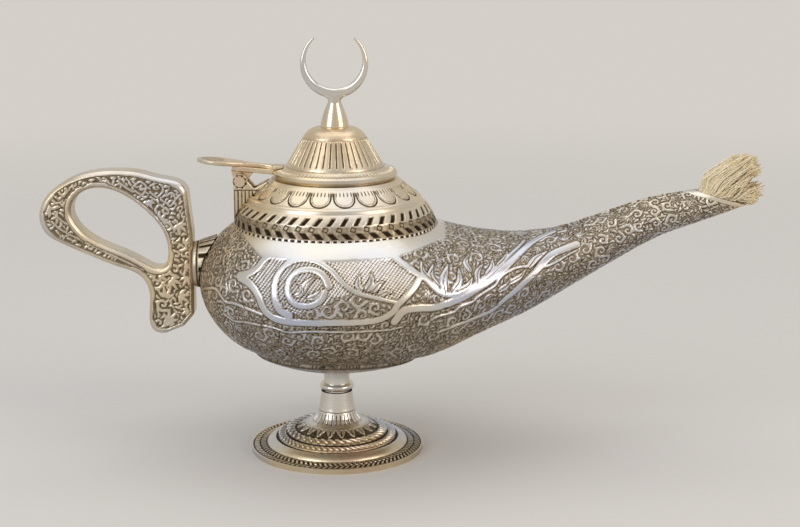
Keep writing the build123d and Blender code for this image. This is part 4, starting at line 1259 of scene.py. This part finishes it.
def strand_path(up, side, length):
    """A strand from the wick's end through the mouth to its place in a clump."""
    root = np.array([147.0 - 1.4 * up, 3.3 * side, 104.3 + 3.3 * up])
    leave = (LEAVE_BACK + LEAVE_FRONT) / 2 + (LEAVE_BACK - LEAVE_FRONT) / 2 * up
    wide = math.sqrt(max(0.0, 1 - 0.75 * up * up))
    mouth = np.array([leave[0], 5.0 * side * wide, leave[1]])
    end = np.array([np.interp(up, CLUMP_WAY, CLUMP_X), 6.4 * side * (0.75 + 0.25 * wide),
                    np.interp(up, CLUMP_WAY, CLUMP_Z)])
    end[0] -= 4.0 * abs(side) ** 2.5
    bulge = mouth + (end - mouth) * 0.3 + np.array([-2.0, 0.0, 2.1]) * max(0.0, up) ** 1.5
    return curve_through([root, mouth, bulge, mouth + (end - mouth) * length], 0.2)[0]


def tuft_strands():
    """The frayed end: fine strands, most of them crimped, that leave the mouth side by side."""
    count = 1250
    steps, sides = 18, 4
    verts, faces, tone = [], [], []
    ring = np.linspace(0, 2 * math.pi, sides, endpoint=False)
    for k in range(count):
        up, side = rng.uniform(-1, 1), rng.uniform(-1, 1)
        r = max(abs(up) ** 2, abs(side))
        path = strand_path(up, side, rng.uniform(0.84, 1.05) - 0.4 * rng.uniform(0, 1) ** 4)
        path = path[np.linspace(0, len(path) - 1, steps).astype(int)]
        t = np.linspace(0, 1, steps)[:, None]
        crimp = rng.uniform(0.05, 0.4) if up > 0.45 else rng.uniform(0.2, 0.95)
        path = path + np.sin(t * rng.uniform(8, 20) + rng.uniform(0, 6, 3)) * crimp * np.minimum(t * 2, 1)
        ahead = np.gradient(path, axis=0)
        ahead /= np.linalg.norm(ahead, axis=1)[:, None]
        across = np.cross(ahead, np.array([0.0, 1.0, 0.0]))
        across /= np.linalg.norm(across, axis=1)[:, None] + 1e-9
        over = np.cross(ahead, across)
        thick = rng.uniform(0.2, 0.42) * (1 - 0.45 * t[:, 0] ** 3)
        tube = path[:, None, :] + thick[:, None, None] * (
            across[:, None, :] * np.cos(ring)[None, :, None] + over[:, None, :] * np.sin(ring)[None, :, None])
        first = k * steps * sides
        verts.append(tube.reshape(-1, 3))
        faces += tube_faces(steps, sides, first=first)
        # painted shade: strands near the tuft's core are darker, and each strand gets a random tone
        tone.append(np.full(steps * sides, 0.4 * (1 - r) + rng.uniform(-0.1, 0.16)))
    new_piece("wick_tuft_frayed", np.vstack(verts), faces, wick_cotton, "wick", "wick_tuft",
              {"recess": np.concatenate(tone)}, sharp=180)


wick_cord_piece()
tuft_strands()


# ------------------------------------------------- finishes of the CAD's own pieces
for material, names in ((polished_silver, ("hinge_pin",)), (bare_brass, ("bowl_boss", "lid_ring")),
                        (plated_steel, ("foot_screw", "foot_washer", "finial_stud", "finial_nut"))):
    for name in names:
        piece = nodes[name]
        piece.data.materials.clear()
        piece.data.materials.append(material)


# ------------------------------------------------------------ floor and light
PALE, FLOOR_HALF = "#d4d0c9", 4000


def seen_directly(tree):
    """1 for what the camera sees, itself or in metal, 0 for the light that falls on the lamp."""
    rays = add_node(tree, "ShaderNodeLightPath").outputs
    seen = maths(tree, "MAXIMUM", rays["Is Camera Ray"], rays["Is Glossy Ray"])
    return maths(tree, "MAXIMUM", seen, rays["Is Transmission Ray"])


def floor_paint():
    """Plain paint that keeps the lamp's shadow and, from a metre away, turns into the background."""
    material = bpy.data.materials.new("studio_floor_paint")
    tree = emptied(material)
    away = add_node(tree, "ShaderNodeVectorMath", {"operation": "LENGTH"}, {0: object_place(tree)}).outputs["Value"]
    share = maths(tree, "MULTIPLY", mapped(tree, away, 0.35, 1.1), seen_directly(tree))
    paint = add_node(tree, "ShaderNodeBsdfPrincipled", links={"Base Color": linear(PALE), "Roughness": 0.75})
    plain = add_node(tree, "ShaderNodeEmission", links={"Color": linear(PALE), "Strength": 1.0})
    both = add_node(tree, "ShaderNodeMixShader", links={
        0: share, 1: paint.outputs["BSDF"], 2: plain.outputs["Emission"]})
    add_node(tree, "ShaderNodeOutputMaterial", links={"Surface": both.outputs["Shader"]})
    return material


corners = [(x * FLOOR_HALF, y * FLOOR_HALF, 0) for x, y in ((-1, -1), (1, -1), (1, 1), (-1, 1))]
floor_mesh = plain_mesh("studio_floor", corners, [[0, 1, 2, 3]])
floor_mesh.materials.append(floor_paint())
floor = in_scene("studio_floor", floor_mesh)


MIDDLE = (30, 0, 90)


def softbox(name, place, width, height, power, tint="#ffffff"):
    """A soft studio light at a place in millimetres that faces the lamp's middle."""
    data = bpy.data.lights.new(name, "AREA")
    data.shape, data.size, data.size_y, data.energy = "RECTANGLE", width * MM, height * MM, power
    data.color = linear(tint)[:3]
    light = in_scene(name, data)
    light.location = Vector(place) * MM
    light.rotation_euler = (Vector(place) - Vector(MIDDLE)).to_track_quat("Z", "Y").to_euler()


softbox("overhead_box", (0, 150, 1500), 1900, 1300, 7.2)
softbox("front_left_box", (-1150, -1150, 950), 1000, 1400, 11.5, "#f2f5ff")
softbox("front_right_box", (1250, -800, 800), 800, 1100, 8.0, "#fff1e4")

world = bpy.data.worlds.new("studio")
bpy.context.scene.world = world
tree = emptied(world)
fill = add_node(tree, "ShaderNodeBackground", links={"Color": linear("#d2d4d8"), "Strength": 0.78})
pale = add_node(tree, "ShaderNodeBackground", links={"Color": linear(PALE), "Strength": 1.0})
both = add_node(tree, "ShaderNodeMixShader", links={
    0: seen_directly(tree), 1: fill.outputs["Background"], 2: pale.outputs["Background"]})
add_node(tree, "ShaderNodeOutputWorld", links={"Surface": both.outputs["Shader"]})
